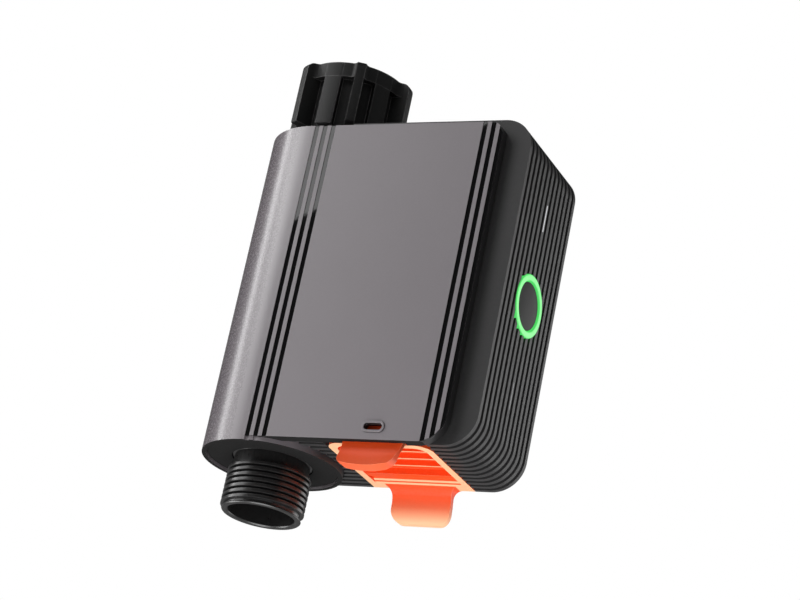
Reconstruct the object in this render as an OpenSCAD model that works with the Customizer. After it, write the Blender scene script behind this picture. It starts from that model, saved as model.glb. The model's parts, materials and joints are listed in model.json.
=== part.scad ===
// Battery powered water valve for a garden tap.
// Heights are measured from the lower rim of the round column, the pipe axis is the Z axis
// and the flat front faces -Y. All sizes in millimetres.

/* [Column and front plate] */
// how far the plate's face stands in front of the housing, the column reaches as far
plate_lift = 3.9; // [3.7:0.05:4.1]
// height of the column above the ball's middle
crown_h = 17.2; // [17:0.1:18]
// wall of the column
shell_wall = 2; // [1.6:0.1:2]
// how far the housing stands out beside the plate
plate_step = 8.6; // [7:0.1:10]
// lower edge of the front plate above the column's rim
plate_bottom = 1.3; // [1:0.1:1.6]
// lower corner radius of the plate
plate_corner_low = 8.5; // [6:0.5:10]
// upper corner radius of the plate
plate_corner_high = 4.5; // [3:0.5:6]
// thickness of the plate's face
plate_t = 2.2; // [2:0.1:2.3]
// width of the skirt around the plate's back
plate_skirt = 2; // [1.6:0.1:2.4]

/* [Trim strips] */
// strips at each side
trim_count = 3; // [1:1:3]
// width of one strip
trim_w = 1.55; // [1:0.05:1.8]
// distance from strip to strip
trim_pitch = 2.95; // [2.5:0.05:3]
// first left strip, from the pipe axis
trim_left = 1.5; // [1:0.1:2.5]
// first right strip, measured in from the plate's right edge
trim_right = 7.1; // [6.5:0.1:8]
// depth of the grooves for the strips
trim_depth = 0.8; // [0.5:0.1:1]
// how far the strips lie below the face
trim_sink = 0.15; // [0.05:0.05:0.3]

/* [Latch window] */
// middle of the window, from the latch's middle
window_off = 0.3; // [-0.5:0.1:1]
// height of the window's middle
window_z = 5.5; // [5.3:0.1:5.8]
// width of the opening
window_w = 6; // [4:0.1:7]
// height of the opening
window_h = 2.1; // [1.6:0.1:2.4]
// width of the raised frame around it
bezel_w = 0.85; // [0.6:0.05:1]
// how far the frame stands out
bezel_lift = 0.4; // [0.2:0.05:0.6]

/* [Ribbed housing] */
// room for the board and the button beside the battery bay, wall included
board_room = 16.55; // [16:0.05:18]
// room for the latch between the tray and the housing's front face
latch_room = 3.1; // [3:0.05:3.4]
// room between the tray and the housing's back face
back_room = 3.9; // [3.9:0.1:4.4]
// lower face of the housing
box_bottom = 1.8; // [1.6:0.1:2]
// how far the housing rises above the column
box_rise = 2.5; // [2:0.1:3.3]
// how far the housing reaches back along the column
box_wrap = 10.5; // [9.5:0.5:11.5]
// corner radius seen from the front
box_corner = 10; // [9:0.5:11]
// ribs from front to back
rib_count = 13; // [9:1:15]
// width of one rib
rib_w = 1.6; // [1.2:0.1:1.8]
// depth of the grooves between the ribs
rib_depth = 0.9; // [0.5:0.1:1]
// thickness of the front wall
front_wall = 2.2; // [2:0.1:2.2]
// thickness of the curved wall beside the column
curve_wall = 1.8; // [1.4:0.1:1.9]
// gap between column and housing
case_gap = 0.25; // [0.15:0.05:0.3]

/* [Back cover] */
// thickness of the back cover
cover_t = 2.2; // [2:0.1:2.4]
// gap around the back cover
cover_gap = 0.15; // [0.1:0.05:0.25]
// thickness of the gasket
gasket_t = 0.8; // [0.6:0.1:0.9]
// radius of a cover screw's shank
screw_r = 1.2; // [1:0.1:1.4]
// radius of a cover screw's head
screw_head_r = 2.4; // [2:0.1:2.5]
// depth of the label recess
label_depth = 0.4; // [0.2:0.1:0.6]

/* [Button and lights] */
// height of the button's middle
button_z = 56; // [54:0.5:58]
// radius of the button
button_r = 7.6; // [6.5:0.1:7.6]
// travel of the button
button_travel = 0.8; // [0.5:0.1:0.8]
// height of the button's dome
button_dome = 0.5; // [0.3:0.1:0.8]
// gap around the button
button_gap = 0.3; // [0.25:0.05:0.4]
// outer radius of the light ring
ring_r = 10; // [9.9:0.1:10.5]
// how far the ring stands out
ring_lift = 0.3; // [0.1:0.1:0.6]
// length of a light bar
bar_l = 9.2; // [6:0.1:12]
// width of a light bar
bar_w = 0.7; // [0.6:0.1:1.2]
// height from the button to each light bar
bar_rise = 30; // [26:0.5:32]

/* [Water path] */
// outer radius of the outlet thread
thread_r = 13.22; // [13.22:0.01:13.22]
// depth of the thread
thread_depth = 1.16; // [0.9:0.02:1.16]
// distance between thread turns
thread_pitch = 1.814; // [1.814:0.001:1.814]
// turns on the outlet
outlet_turns = 7; // [5:1:7]
// length of the outlet below the column's rim
outlet_l = 16.9; // [16.5:0.1:18]
// radius of the outlet's bore
outlet_bore = 10.6; // [10.2:0.1:10.8]
// radius of the neck above the outlet thread
outlet_neck = 12; // [11.8:0.1:12]
// how far the collar in the base ring stands out from the neck
outlet_collar = 0.7; // [0.6:0.05:0.9]
// height of the base ring in the column
base_z = 0.8; // [0.5:0.1:1.6]
// width of the column's rim around the base ring
rim_w = 1.4; // [1.3:0.1:1.8]
// thickness of the base ring
base_t = 2.2; // [1.5:0.1:2.4]
// radius of the water bore through the ball
water_r = 7.5; // [6.5:0.1:7.5]
// radius of the ball
ball_r = 12; // [11.6:0.1:12]
// outer radius of the valve body
valve_r = 17.5; // [16.5:0.1:18]
// radius of the neck above the valve body
neck_r = 13.8; // [13:0.1:14]
// radius of the stem
stem_r = 3.5; // [3:0.1:3.5]
// running gap around turning pieces
turn_gap = 0.06; // [0.04:0.01:0.08]

/* [Inlet nut] */
// gap between the column and the nut
nut_gap = 4.3; // [4.2:0.1:4.8]
// height of the nut
nut_h = 22.3; // [22.2:0.1:24]
// radius of the nut's collar at the top
nut_core = 16.9; // [16.3:0.1:17]
// radius at the floor of the pockets between the wings
nut_floor = 14.6; // [14.5:0.1:15]
// wings on the nut
nut_wings = 6; // [4:1:6]
// radius over the wings
nut_wing_r = 20.5; // [20:0.1:21]
// thickness of a wing
nut_wing_t = 3; // [2.4:0.1:3.4]
// blend between wing and collar
nut_fillet = 2; // [1:0.1:2]
// rounding of the wings' upper corners
nut_round = 2.8; // [1:0.1:3]
// width of the pad in the middle of a pocket
nut_pad_w = 5; // [4.6:0.1:5.2]
// height of the collar above the pockets
nut_collar = 5; // [4:0.1:7]
// turn of the wings about the pipe
nut_turn = 1; // [0:1:59]

/* [Flow meter] */
// radius of the turbine
turbine_r = 9.3; // [8.5:0.1:9.3]
// length of the turbine
turbine_l = 12; // [8:0.5:12]
// blades on the turbine
turbine_blades = 6; // [4:1:8]
// lean of the blades
turbine_lean = 30; // [15:1:35]
// radius of the turbine's axle
turbine_axle_r = 0.8; // [0.6:0.05:0.9]

/* [Drive] */
// gear module
gear_m = 0.6; // [0.6:0.01:0.6]
// teeth on the output gear
teeth_out = 40; // [40:1:40]
// teeth on the large wheel of the compound gear
teeth_large = 32; // [32:1:32]
// teeth on the small wheel of the compound gear
teeth_small = 12; // [12:1:12]
// teeth on the motor pinion
teeth_motor = 12; // [12:1:12]
// play between gear teeth
gear_play = 0.14; // [0.1:0.01:0.18]
// gap between the gear frame and the battery bay
drive_gap = 0.4; // [0.3:0.1:0.8]
// sideways place of the compound gear
idler_y = 6; // [5.4:0.1:6]
// radius of the motor can
motor_r = 9; // [8:0.1:9]
// length of the motor can
motor_l = 21.5; // [18:0.5:21.5]

/* [Electronics] */
// thickness of the board
board_t = 1.6; // [1:0.1:1.6]
// width of the board
board_w = 30; // [28:0.5:30]
// height of the board
board_h = 79.5; // [78:0.5:80]
// radius of a board screw
board_screw_r = 0.9; // [0.7:0.1:0.9]

/* [Battery cartridge] */
// wall between the battery bay and the curved wall
bay_side = 2.6; // [2.4:0.1:2.8]
// how far the battery cap reaches past the tray at each side
cap_rim = 1.3; // [1.1:0.05:1.5]
// thickness of the battery cap
cap_t = 4.4; // [4.2:0.1:4.4]
// width of the border on the cap
cap_border = 2.4; // [2.2:0.1:3.4]
// corner radius at the cap's front
cap_corner = 5; // [4:0.5:6]
// depth of the cap's hollow
cap_hollow = 2.4; // [1.6:0.1:2.6]
// ribs across the cap's hollow
cap_ribs = 3; // [1:1:4]
// gap around the cap
cap_gap = 0.2; // [0.15:0.05:0.3]
// radius of one cell
cell_r = 7.25; // [7.1:0.05:7.25]
// length of one cell
cell_l = 50.5; // [49.5:0.1:50.5]
// gap between two cells
cell_gap = 1.1; // [0.9:0.05:1.2]
// thickness of the tray's outer wall beside a cell
tray_wall = 1.15; // [1:0.05:1.2]
// middle of the tray from front to back
tray_y = 0.7; // [0.6:0.1:0.8]
// width of the rear grip tab
tab_w = 20.4; // [18:0.2:21]
// middle of the rear grip tab, from the cap's middle
tab_off = 0.2; // [-0.6:0.1:0.9]
// lowest point of the rear grip tab below the rim
tab_drop = 9.5; // [8:0.1:10]
// how far the rear grip tab bends back
tab_flare = 2.2; // [1:0.1:3]

/* [Latch] */
// middle of the latch, from the cap's middle
latch_off = 0.8; // [0.4:0.1:1.4]
// width of the latch
latch_w = 20.6; // [19:0.2:20.6]
// thickness of the latch
latch_t = 1.6; // [1.3:0.1:1.6]
// lowest point of the latch below the rim
latch_drop = 7.6; // [7:0.1:9.5]
// how far the latch bends forward
latch_flare = 3; // [2:0.1:3.4]
// how much thicker the latch is at its lower end
latch_lip = 2; // [1:0.1:2.2]
// corner radius at the latch's lower end
latch_corner = 3.2; // [2.6:0.1:6]
// height of the latch pivot
latch_pivot_z = 14; // [14:0.1:14.3]
// radius of the latch pin
latch_pin_r = 0.8; // [0.6:0.05:0.85]

/* [Hidden] */
$fn = 64;
big = 400;

r_out = gear_m * teeth_out / 2;
r_large = gear_m * teeth_large / 2;
r_small = gear_m * teeth_small / 2;
r_motor = gear_m * teeth_motor / 2;
idler_gap = r_out + r_small;
motor_gap = r_large + r_motor;
motor_off = 12.6;

// battery, tray and bay set the housing's depth
cell_pitch = 2 * cell_r + cell_gap;
tray_w = cell_pitch + 2 * cell_r + 2 * tray_wall;
cap_w = tray_w + 2 * cap_rim;
bay_half = tray_w / 2 + 0.25;
box_front = tray_y - tray_w / 2 - latch_room;
box_back = tray_y + tray_w / 2 + back_room;
box_mid = (box_front + box_back) / 2;

// column and plate stand in front of the housing
plate_face = box_front - plate_lift;
plate_inner = plate_face + plate_t;
plate_back = box_front - 0.1;
column_r = -plate_face;
column_in = column_r - shell_wall;
curve_r = column_r + case_gap;
curve_in = curve_r + curve_wall;

// places across the housing
cap_x = curve_in + bay_side + bay_half;
box_left = column_r - box_wrap;
box_right = cap_x + bay_half + board_room;
plate_right = box_right - plate_step;
latch_x = cap_x + latch_off;
tab_x = cap_x + tab_off;
window_x = latch_x + window_off;
gear_a = curve_in + 3.95;
gear_b = gear_a + 4.7;
stem_end = gear_b + 5.1;

// heights, from the cap up to the nut
cap_low = box_bottom;
cap_high = box_bottom + cap_t;
tray_low = cap_high;
cell_low = tray_low + 2.8;
cell_high = cell_low + cell_l;
tray_high = cell_high + 4.1;
bay_top = tray_high + 1;
frame_low = bay_top + 1.2 + drive_gap;
idler_z = frame_low + r_large + 0.8;
ball_z = idler_z + sqrt(idler_gap * idler_gap - idler_y * idler_y);
motor_y = idler_y - motor_off;
motor_z = idler_z + sqrt(motor_gap * motor_gap - motor_off * motor_off);
frame_high = ball_z + r_out + 1.5;
column_h = ball_z + crown_h;
box_top = column_h + box_rise;
nut_bottom = column_h + nut_gap;
nut_top = nut_bottom + nut_h;
nut_step = 360 / nut_wings;
to_idler = atan2(idler_z - ball_z, idler_y);
to_motor = atan2(motor_z - idler_z, motor_y - idler_y);

// room inside the housing
rib_pitch = (box_back - box_front - rib_w) / (rib_count - 1);
inner_y = box_front + front_wall;
cover_y = box_back - cover_t;
ledge_y = cover_y - gasket_t;
room_left = curve_in - 4.55;
room_right = box_right - 4;
room_bottom = box_bottom + 8.4;
room_top = box_top - 4;
room_corner = box_corner - 4;
boss_left = room_left + 3.4;
boss_right = room_right - 3.4;
boss_low = room_bottom + 3.4;
boss_high = room_top - 3.5;
boss_y = box_back - 10.8;
ring_in = button_r + button_gap;
ring_step = button_r + 1.7;
ring_back = room_right - 3.1;
ring_seat = room_right;
button_back = ring_seat - 1.8;
bar_y = box_mid;
board_x = room_right - 7;
board_low = button_z - 37.5;
cap_front = box_front + 1.4;
latch_y = box_front + 1.3;
latch_front = plate_inner + 0.4;
chamber_r = ball_r + 0.6;
chamber_top = ball_z + 12.2;
seat_low = ball_z - 12.2;
joint_z = ball_z - 17;
tail_r = water_r + 2.1;
tail_seat = nut_bottom + 6;
washer_z = tail_seat + 2.5;
screen_z = washer_z + 2.2;
nut_thread_z = screen_z + 0.9;

// an outline in the XZ plane, thickened from y0 to y1
module slab(y0, y1) {
    translate([0, y1, 0]) rotate([90, 0, 0]) linear_extrude(y1 - y0) children();
}

// local X, Y and Z become world Y, Z and X
module alongX(x) {
    translate([x, 0, 0]) rotate([90, 0, 90]) children();
}

// rectangle with round right corners
module panel(x0, x1, z0, z1, low, high) {
    wide = max(low, high);
    translate([x0, z0]) square([x1 - wide - x0, z1 - z0]);
    translate([x0, z0 + low]) square([x1 - x0, z1 - high - z0 - low]);
    translate([x0, z0]) square([x1 - low - x0, wide]);
    translate([x0, z1 - wide]) square([x1 - high - x0, wide]);
    translate([x1 - low, z0 + low]) circle(low);
    translate([x1 - high, z1 - high]) circle(high);
}

// rectangle with four round corners about its middle
module softRect(w, h, r) {
    square([w - 2 * r, h], center = true);
    square([w, h - 2 * r], center = true);
    for (x = [-1, 1], y = [-1, 1])
        translate([x * (w / 2 - r), y * (h / 2 - r)]) circle(r);
}

module plateOutline(inset) {
    panel(0, plate_right - inset, plate_bottom + inset, column_h - inset,
        plate_corner_low - inset, plate_corner_high - inset);
}

module boxOutline(inset) {
    panel(box_left, box_right - inset, box_bottom + inset, box_top - inset,
        box_corner - inset, box_corner - inset);
}

module roomOutline(grow) {
    panel(room_left - grow, room_right + grow, room_bottom - grow, room_top + grow,
        room_corner + grow, room_corner + grow);
}

module stripOutline() {
    for (i = [0 : trim_count - 1]) {
        translate([trim_left + i * trim_pitch, 0]) square([trim_w, big]);
        translate([plate_right - trim_right + i * trim_pitch, 0]) square([trim_w, big]);
    }
}

module screwSpots() {
    for (x = [boss_left, boss_right], z = [boss_low, boss_high])
        translate([x, 0, z]) rotate([-90, 0, 0]) children();
}

module boardSpots() {
    for (y = [box_mid - 12.5, box_mid + 12.5], z = [button_z - 34, button_z + 38.5])
        translate([0, y, z]) rotate([0, 90, 0]) children();
}

module cellSpots() {
    for (i = [-1, 1], j = [-1, 1])
        translate([cap_x + i * cell_pitch / 2, tray_y + j * cell_pitch / 2, 0]) children();
}

// side of a ring thread, climbing from z
function threadSide(turns, z, top, root) = [for (i = [0 : turns - 1], k = [0 : 3])
    [k < 2 ? top : root, z + thread_pitch * (i + [0, 0.32, 0.56, 0.76][k])]];

function involute(r, base) = let (t = sqrt(max(0, r * r / base / base - 1))) t * 180 / PI - atan(t);

// half the angle of a tooth at radius r
function toothHalf(r, teeth) = let (pitch = gear_m * teeth / 2, base = pitch * cos(20))
    90 / teeth - gear_play / 2 / pitch * 180 / PI + involute(pitch, base) - involute(max(r, base), base);

// a gear with one tooth along +X
module gearOutline(teeth) {
    pitch = gear_m * teeth / 2;
    root = pitch - 1.05 * gear_m;
    tip = pitch + 0.8 * gear_m;
    steps = 5;
    polygon([for (i = [0 : teeth - 1], s = [-1, 1], k = [0 : steps])
        let (r = root + (tip - root) * (s < 0 ? k : steps - k) / steps,
            a = i * 360 / teeth + s * toothHalf(r, teeth))
        [r * cos(a), r * sin(a)]]);
}

module torus(r, thick) {
    rotate_extrude() translate([r, 0]) circle(thick, $fn = 32);
}

module front_shell() {
    color([0.2, 0.2, 0.21]) difference() {
        union() {
            cylinder(r = column_r, h = column_h);
            slab(plate_face, plate_back) plateOutline(0);
        }
        translate([0, 0, -1]) cylinder(r = column_in, h = column_h - shell_wall + 1);
        translate([0, 0, -1]) cylinder(r = column_r - rim_w, h = base_z + base_t + 1);
        cylinder(r = neck_r + 0.3, h = big);
        // hollow behind the plate
        difference() {
            slab(plate_inner, plate_back + 1) plateOutline(plate_skirt);
            cylinder(r = column_r, h = big);
        }
        slab(plate_face - 1, plate_face + trim_depth) stripOutline();
        // window and the seat of its frame
        slab(plate_face - 1, plate_back) translate([window_x, window_z])
            softRect(window_w, window_h, window_h / 2 - 0.05);
        slab(plate_face - 1, plate_face + 0.8) translate([window_x, window_z])
            softRect(window_w + 2 * bezel_w, window_h + 2 * bezel_w, window_h / 2 + bezel_w - 0.05);
        // way for the latch
        translate([latch_x - latch_w / 2 - 0.6, plate_inner, -1])
            cube([latch_w + 1.2, plate_back - plate_inner + 1, 9]);
        // way for the stem
        alongX(0) translate([0, ball_z]) cylinder(r = stem_r + 1.5, h = 30);
    }
}

module trim_strips() {
    color([0.03, 0.03, 0.03]) slab(plate_face + trim_sink, plate_face + trim_depth) intersection() {
        plateOutline(0);
        stripOutline();
    }
}

module window_bezel() {
    color([0.16, 0.16, 0.17]) slab(plate_face - bezel_lift, plate_face + 0.8)
        translate([window_x, window_z]) difference() {
            softRect(window_w + 2 * bezel_w, window_h + 2 * bezel_w, window_h / 2 + bezel_w - 0.05);
            softRect(window_w, window_h, window_h / 2 - 0.05);
        }
}

module rear_housing() {
    color([0.17, 0.17, 0.18]) difference() {
        union() {
            slab(box_front, box_back) boxOutline(rib_depth);
            for (i = [0 : rib_count - 1])
                slab(box_front + i * rib_pitch, box_front + i * rib_pitch + rib_w) boxOutline(0);
        }
        translate([0, 0, -1]) cylinder(r = curve_r, h = big);
        // room inside, with the walls of the battery bay and the bosses left standing
        difference() {
            slab(inner_y, box_back + 1) roomOutline(0);
            translate([0, 0, -1]) cylinder(r = curve_in, h = big);
            translate([room_left, inner_y - 1, 0])
                cube([cap_x - bay_half - room_left, cover_y - inner_y + 1, bay_top + 1.2]);
            translate([cap_x + bay_half, inner_y - 1, 0])
                cube([1.3, ledge_y - inner_y + 1, bay_top + 1.2]);
            translate([room_left, inner_y - 1, bay_top])
                cube([cap_x + bay_half - room_left, ledge_y - inner_y + 1, 1.2]);
            screwSpots() translate([0, 0, boss_y]) cylinder(r = 2.6, h = cover_y - boss_y - 0.1);
            boardSpots() translate([0, 0, board_x + board_t]) cylinder(r = 2.6, h = 20);
        }
        slab(ledge_y, box_back + 1) roomOutline(2);
        screwSpots() translate([0, 0, boss_y + 1]) cylinder(r = screw_r + 0.02, h = big);
        boardSpots() translate([0, 0, board_x]) cylinder(r = board_screw_r + 0.02, h = 6);
        // seat of the cap, mouth of the battery bay and way for the latch
        translate([cap_x - cap_w / 2 - cap_gap, -big, -1])
            cube([cap_w + 2 * cap_gap, 2 * big, cap_high + 1.3]);
        translate([cap_x - bay_half, tray_y - bay_half, 0]) cube([2 * bay_half, 2 * bay_half, bay_top]);
        translate([latch_x - latch_w / 2 - 2.4, box_front - 1, 0])
            cube([latch_w + 4.8, 6, latch_pivot_z + 4]);
        alongX(0) translate([0, ball_z]) cylinder(r = stem_r + 1.5, h = 30);
        alongX(room_right - 1) translate([box_mid, button_z]) cylinder(r = ring_r + 0.05, h = 10);
        for (s = [-1, 1])
            alongX(room_right - 1) translate([bar_y, button_z + s * bar_rise])
                linear_extrude(10) softRect(bar_w + 0.1, bar_l + 0.1, bar_w / 2);
    }
}

module back_cover() {
    color([0.19, 0.19, 0.2]) difference() {
        slab(cover_y, box_back) roomOutline(2 - cover_gap);
        screwSpots() cylinder(r = screw_r + 0.2, h = big);
        screwSpots() translate([0, 0, box_back - 1.2]) cylinder(r = screw_head_r + 0.3, h = 5);
        slab(box_back - label_depth, big) translate([(room_left + room_right) / 2, button_z])
            softRect(34, 46, 3);
    }
}

module cover_gasket() {
    color([0.06, 0.06, 0.06]) slab(ledge_y, cover_y) difference() {
        roomOutline(1.9);
        roomOutline(0.1);
    }
}

module cover_screws() {
    color([0.7, 0.7, 0.72]) screwSpots() difference() {
        union() {
            translate([0, 0, boss_y + 1.5]) cylinder(r = screw_r, h = box_back - 1.2 - boss_y - 1.5);
            translate([0, 0, box_back - 1.2]) cylinder(r = screw_head_r, h = 1);
        }
        translate([0, 0, box_back - 0.9]) cylinder(r = 1.2, h = 2, $fn = 6);
    }
}

module base_ring() {
    color([0.12, 0.12, 0.13]) translate([0, 0, base_z]) difference() {
        cylinder(r = column_r - rim_w - 0.1, h = base_t);
        translate([0, 0, -1]) cylinder(r = outlet_neck + outlet_collar + 0.2, h = base_t + 2);
    }
}

module valve_body() {
    color([0.3, 0.3, 0.31]) difference() {
        union() {
            translate([0, 0, joint_z]) cylinder(r = valve_r, h = column_h - shell_wall - 0.4 - joint_z);
            cylinder(r = neck_r, h = nut_bottom - 0.3);
            alongX(0) translate([0, ball_z]) cylinder(r = stem_r + 3, h = column_in - 1.6);
        }
        translate([0, 0, -1]) cylinder(r = big, h = joint_z + 1);
        translate([0, 0, -1]) cylinder(r = chamber_r, h = chamber_top + 1);
        cylinder(r = water_r, h = big);
        translate([0, 0, chamber_top + 1.8]) cylinder(r = tail_r + 0.03, h = big);
        alongX(0) translate([0, ball_z]) cylinder(r = stem_r + turn_gap, h = 30);
    }
}

module outlet_body() {
    thread_z = 0.9 - outlet_l;
    thread_end = thread_z + thread_pitch * (outlet_turns - 0.24);
    color([0.16, 0.16, 0.17]) difference() {
        union() {
            rotate_extrude() polygon(concat([[5, -outlet_l], [thread_r - 0.9, -outlet_l]],
                threadSide(outlet_turns, thread_z, thread_r, thread_r - thread_depth),
                [[outlet_neck, thread_end + 0.4], [outlet_neck, base_z + 0.3],
                [outlet_neck + outlet_collar, base_z + 0.3],
                [outlet_neck + outlet_collar, base_z + base_t + 0.4],
                [outlet_neck + 1.5, base_z + base_t + 0.4], [outlet_neck + 1.5, joint_z - 8],
                [valve_r, joint_z - 8], [valve_r, joint_z], [chamber_r - 0.1, joint_z],
                [chamber_r - 0.1, seat_low], [5, seat_low]]));
        }
        translate([0, 0, -outlet_l - 1]) cylinder(r = outlet_bore, h = outlet_l + 9);
        translate([0, 0, -outlet_l - 0.01]) cylinder(r1 = outlet_bore + 0.5, r2 = outlet_bore, h = 0.5);
        cylinder(r = turbine_r + 0.4, h = 46);
        cylinder(r = water_r, h = big);
        // groove for the seal
        translate([0, 0, joint_z + 1.4]) difference() {
            cylinder(r = chamber_r + 1, h = 1.6);
            translate([0, 0, -1]) cylinder(r = chamber_r - 1.1, h = 4);
        }
    }
}

module pipe_seal() {
    color([0.05, 0.05, 0.05]) translate([0, 0, joint_z + 2.2]) torus(chamber_r - 0.55, 0.48);
}

module inlet_tail() {
    color([0.72, 0.72, 0.7]) difference() {
        union() {
            translate([0, 0, chamber_top + 1.8]) cylinder(r = tail_r, h = tail_seat - chamber_top - 1.6);
            translate([0, 0, tail_seat]) cylinder(r = tail_r + 2.2, h = 2.5);
        }
        cylinder(r = water_r, h = big);
    }
}

module wingOutline() {
    side = nut_wing_t / 2 + nut_fillet;
    reach = sqrt(pow(nut_core + nut_fillet - 0.05, 2) - side * side);
    share = nut_core / (nut_core + nut_fillet);
    translate([0, -nut_wing_t / 2]) square([nut_wing_r + 1, nut_wing_t]);
    for (s = [-1, 1]) scale([1, s]) difference() {
        polygon([[nut_core - 2, 0.5], [reach, nut_wing_t / 2 - 0.2], [reach, side],
            [reach * share, side * share], [nut_core - 2, side * share]]);
        translate([reach, side]) circle(nut_fillet);
    }
}

// the nut from above: at its collar, and below it with a pad in each pocket
module nutCollar() {
    circle(nut_core);
    for (i = [1 : nut_wings]) rotate(i * nut_step) wingOutline();
}

module nutPockets() {
    circle(nut_floor);
    for (i = [1 : nut_wings]) rotate(i * nut_step) {
        translate([0, -nut_wing_t / 2]) square([nut_wing_r + 1, nut_wing_t]);
        rotate(nut_step / 2) translate([0, -nut_pad_w / 2]) square([nut_core - 0.4, nut_pad_w]);
    }
}

module inlet_nut() {
    color([0.09, 0.09, 0.1]) rotate([0, 0, nut_turn]) difference() {
        intersection() {
            union() {
                translate([0, 0, nut_bottom]) linear_extrude(nut_h - nut_collar) nutPockets();
                translate([0, 0, nut_top - nut_collar]) linear_extrude(nut_collar) nutCollar();
            }
            rotate_extrude() panel(0, nut_wing_r, nut_bottom, nut_top, 0.5, nut_round);
        }
        cylinder(r = tail_r + turn_gap + 0.02, h = big);
        translate([0, 0, tail_seat - 0.2]) cylinder(r = thread_r + 0.1, h = nut_thread_z - tail_seat + 0.2);
        translate([0, 0, tail_seat]) cylinder(r = thread_r - thread_depth, h = big);
        translate([0, 0, nut_top - 1.2])
            cylinder(r1 = thread_r - thread_depth, r2 = thread_r + 0.1, h = 1.21);
        // thread grooves
        for (i = [0 : 4]) translate([0, 0, nut_thread_z + 0.7 + i * thread_pitch])
            rotate_extrude() polygon([[10, 0], [thread_r - thread_depth, 0], [thread_r, 0.45],
                [thread_r, 0.7], [thread_r - thread_depth, 1.15], [10, 1.15]]);
    }
}

module inlet_washer() {
    color([0.05, 0.05, 0.05]) translate([0, 0, washer_z]) difference() {
        cylinder(r = tail_r + 2.9, h = 2.2);
        translate([0, 0, -1]) cylinder(r = water_r + 0.4, h = 5);
    }
}

module inlet_screen() {
    color([0.75, 0.75, 0.76]) translate([0, 0, screen_z]) difference() {
        cylinder(r = tail_r + 1.9, h = 0.5);
        translate([0, 0, -1]) for (k = [0 : 3])
            for (a = [0 : max(1, 6 * k) - 1]) rotate(a * 360 / max(1, 6 * k))
                translate([k * 2.1, 0, 0]) cylinder(r = 0.7, h = 3);
    }
}

module ball() {
    color([0.8, 0.8, 0.82]) translate([0, 0, ball_z]) difference() {
        sphere(r = ball_r);
        translate([0, 0, -big / 2]) cylinder(r = water_r, h = big);
        translate([ball_r - 2.4, -1.6, -big / 2]) cube([10, 3.2, big]);
    }
}

module seat_rings() {
    color([0.9, 0.9, 0.88]) translate([0, 0, ball_z]) for (s = [0, 1]) mirror([0, 0, s]) difference() {
        translate([0, 0, 6]) cylinder(r = chamber_r - 0.2, h = 6.2);
        cylinder(r = water_r, h = big);
        sphere(r = ball_r + 0.05);
    }
}

module stem() {
    color([0.75, 0.72, 0.6]) alongX(0) translate([0, ball_z]) difference() {
        union() {
            translate([0, 0, ball_r + 1]) cylinder(r = stem_r, h = gear_b - 0.2 - ball_r - 1);
            translate([0, 0, gear_b - 1]) cylinder(r = stem_r - 1, h = stem_end - gear_b + 1);
            translate([-1.5, -stem_r + 0.8, ball_r - 2.2]) cube([3, 2 * stem_r - 1.6, 4]);
        }
        for (x = [14.6, 16.8]) translate([0, 0, x]) difference() {
            cylinder(r = stem_r + 1, h = 1.2);
            translate([0, 0, -1]) cylinder(r = stem_r - 0.9, h = 4);
        }
    }
}

module stem_seals() {
    color([0.05, 0.05, 0.05]) for (x = [15.2, 17.4])
        alongX(x) translate([0, ball_z]) torus(stem_r - 0.46, 0.42);
}

module output_gear() {
    color([0.88, 0.87, 0.82]) alongX(gear_a) translate([0, ball_z]) difference() {
        union() {
            linear_extrude(4) rotate(to_idler) gearOutline(teeth_out);
            cylinder(r = stem_r + 2, h = gear_b - gear_a - 0.2);
        }
        translate([0, 0, -1]) cylinder(r = stem_r + 0.02, h = 9);
        for (a = [0 : 60 : 300]) rotate(a + 30) translate([8, 0, -1]) cylinder(r = 1.8, h = 9);
    }
}

module compound_gear() {
    color([0.9, 0.89, 0.84]) alongX(gear_a) translate([idler_y, idler_z]) difference() {
        union() {
            linear_extrude(gear_b - gear_a) rotate(to_idler + 180 + 180 / teeth_small)
                gearOutline(teeth_small);
            translate([0, 0, gear_b - gear_a]) linear_extrude(3) rotate(to_motor) gearOutline(teeth_large);
        }
        translate([0, 0, -1]) cylinder(r = 1 + turn_gap, h = 20);
    }
}

module gear_axle() {
    color([0.78, 0.78, 0.8]) alongX(gear_a - 2.3) translate([idler_y, idler_z]) cylinder(r = 1, h = 12.3);
}

module motor_pinion() {
    color([0.8, 0.7, 0.4]) alongX(gear_b) translate([motor_y, motor_z]) {
        linear_extrude(3) rotate(to_motor + 180 + 180 / teeth_motor) gearOutline(teeth_motor);
        cylinder(r = 1, h = 9);
    }
}

module motor() {
    color([0.7, 0.7, 0.72]) alongX(gear_b + 5.3) translate([motor_y, motor_z]) difference() {
        union() {
            cylinder(r = motor_r, h = motor_l);
            translate([0, 0, -1.5]) cylinder(r = 2.8, h = 3);
            translate([0, 0, motor_l - 0.5]) cylinder(r = motor_r - 1.2, h = 1.2);
            for (s = [-1, 1]) translate([s * 4 - 0.4, -1, motor_l]) cube([0.8, 2, 2]);
        }
        translate([0, 0, -2]) cylinder(r = 1 + turn_gap, h = 8);
    }
}

module framePlate(t) {
    linear_extrude(t) difference() {
        translate([inner_y, frame_low]) square([ledge_y - 0.8 - inner_y, frame_high - frame_low]);
        translate([idler_y, idler_z]) circle(1);
        children();
    }
}

module gear_frame() {
    color([0.55, 0.55, 0.56]) {
        alongX(gear_a - 2.3) framePlate(1.6) translate([0, ball_z]) circle(stem_r + turn_gap);
        alongX(gear_b + 3.7) framePlate(1.6) {
            translate([0, ball_z]) circle(stem_r - 1 + turn_gap);
            translate([motor_y, motor_z]) circle(2.82);
        }
        for (p = [[inner_y + 2.2, frame_low + 2], [ledge_y - 2.6, frame_low + 2],
            [inner_y + 2.8, frame_high - 3], [ledge_y - 3.6, frame_high - 3]])
            alongX(gear_a - 1) translate(p) cylinder(r = 1.6, h = gear_b - gear_a + 5);
    }
}

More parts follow.
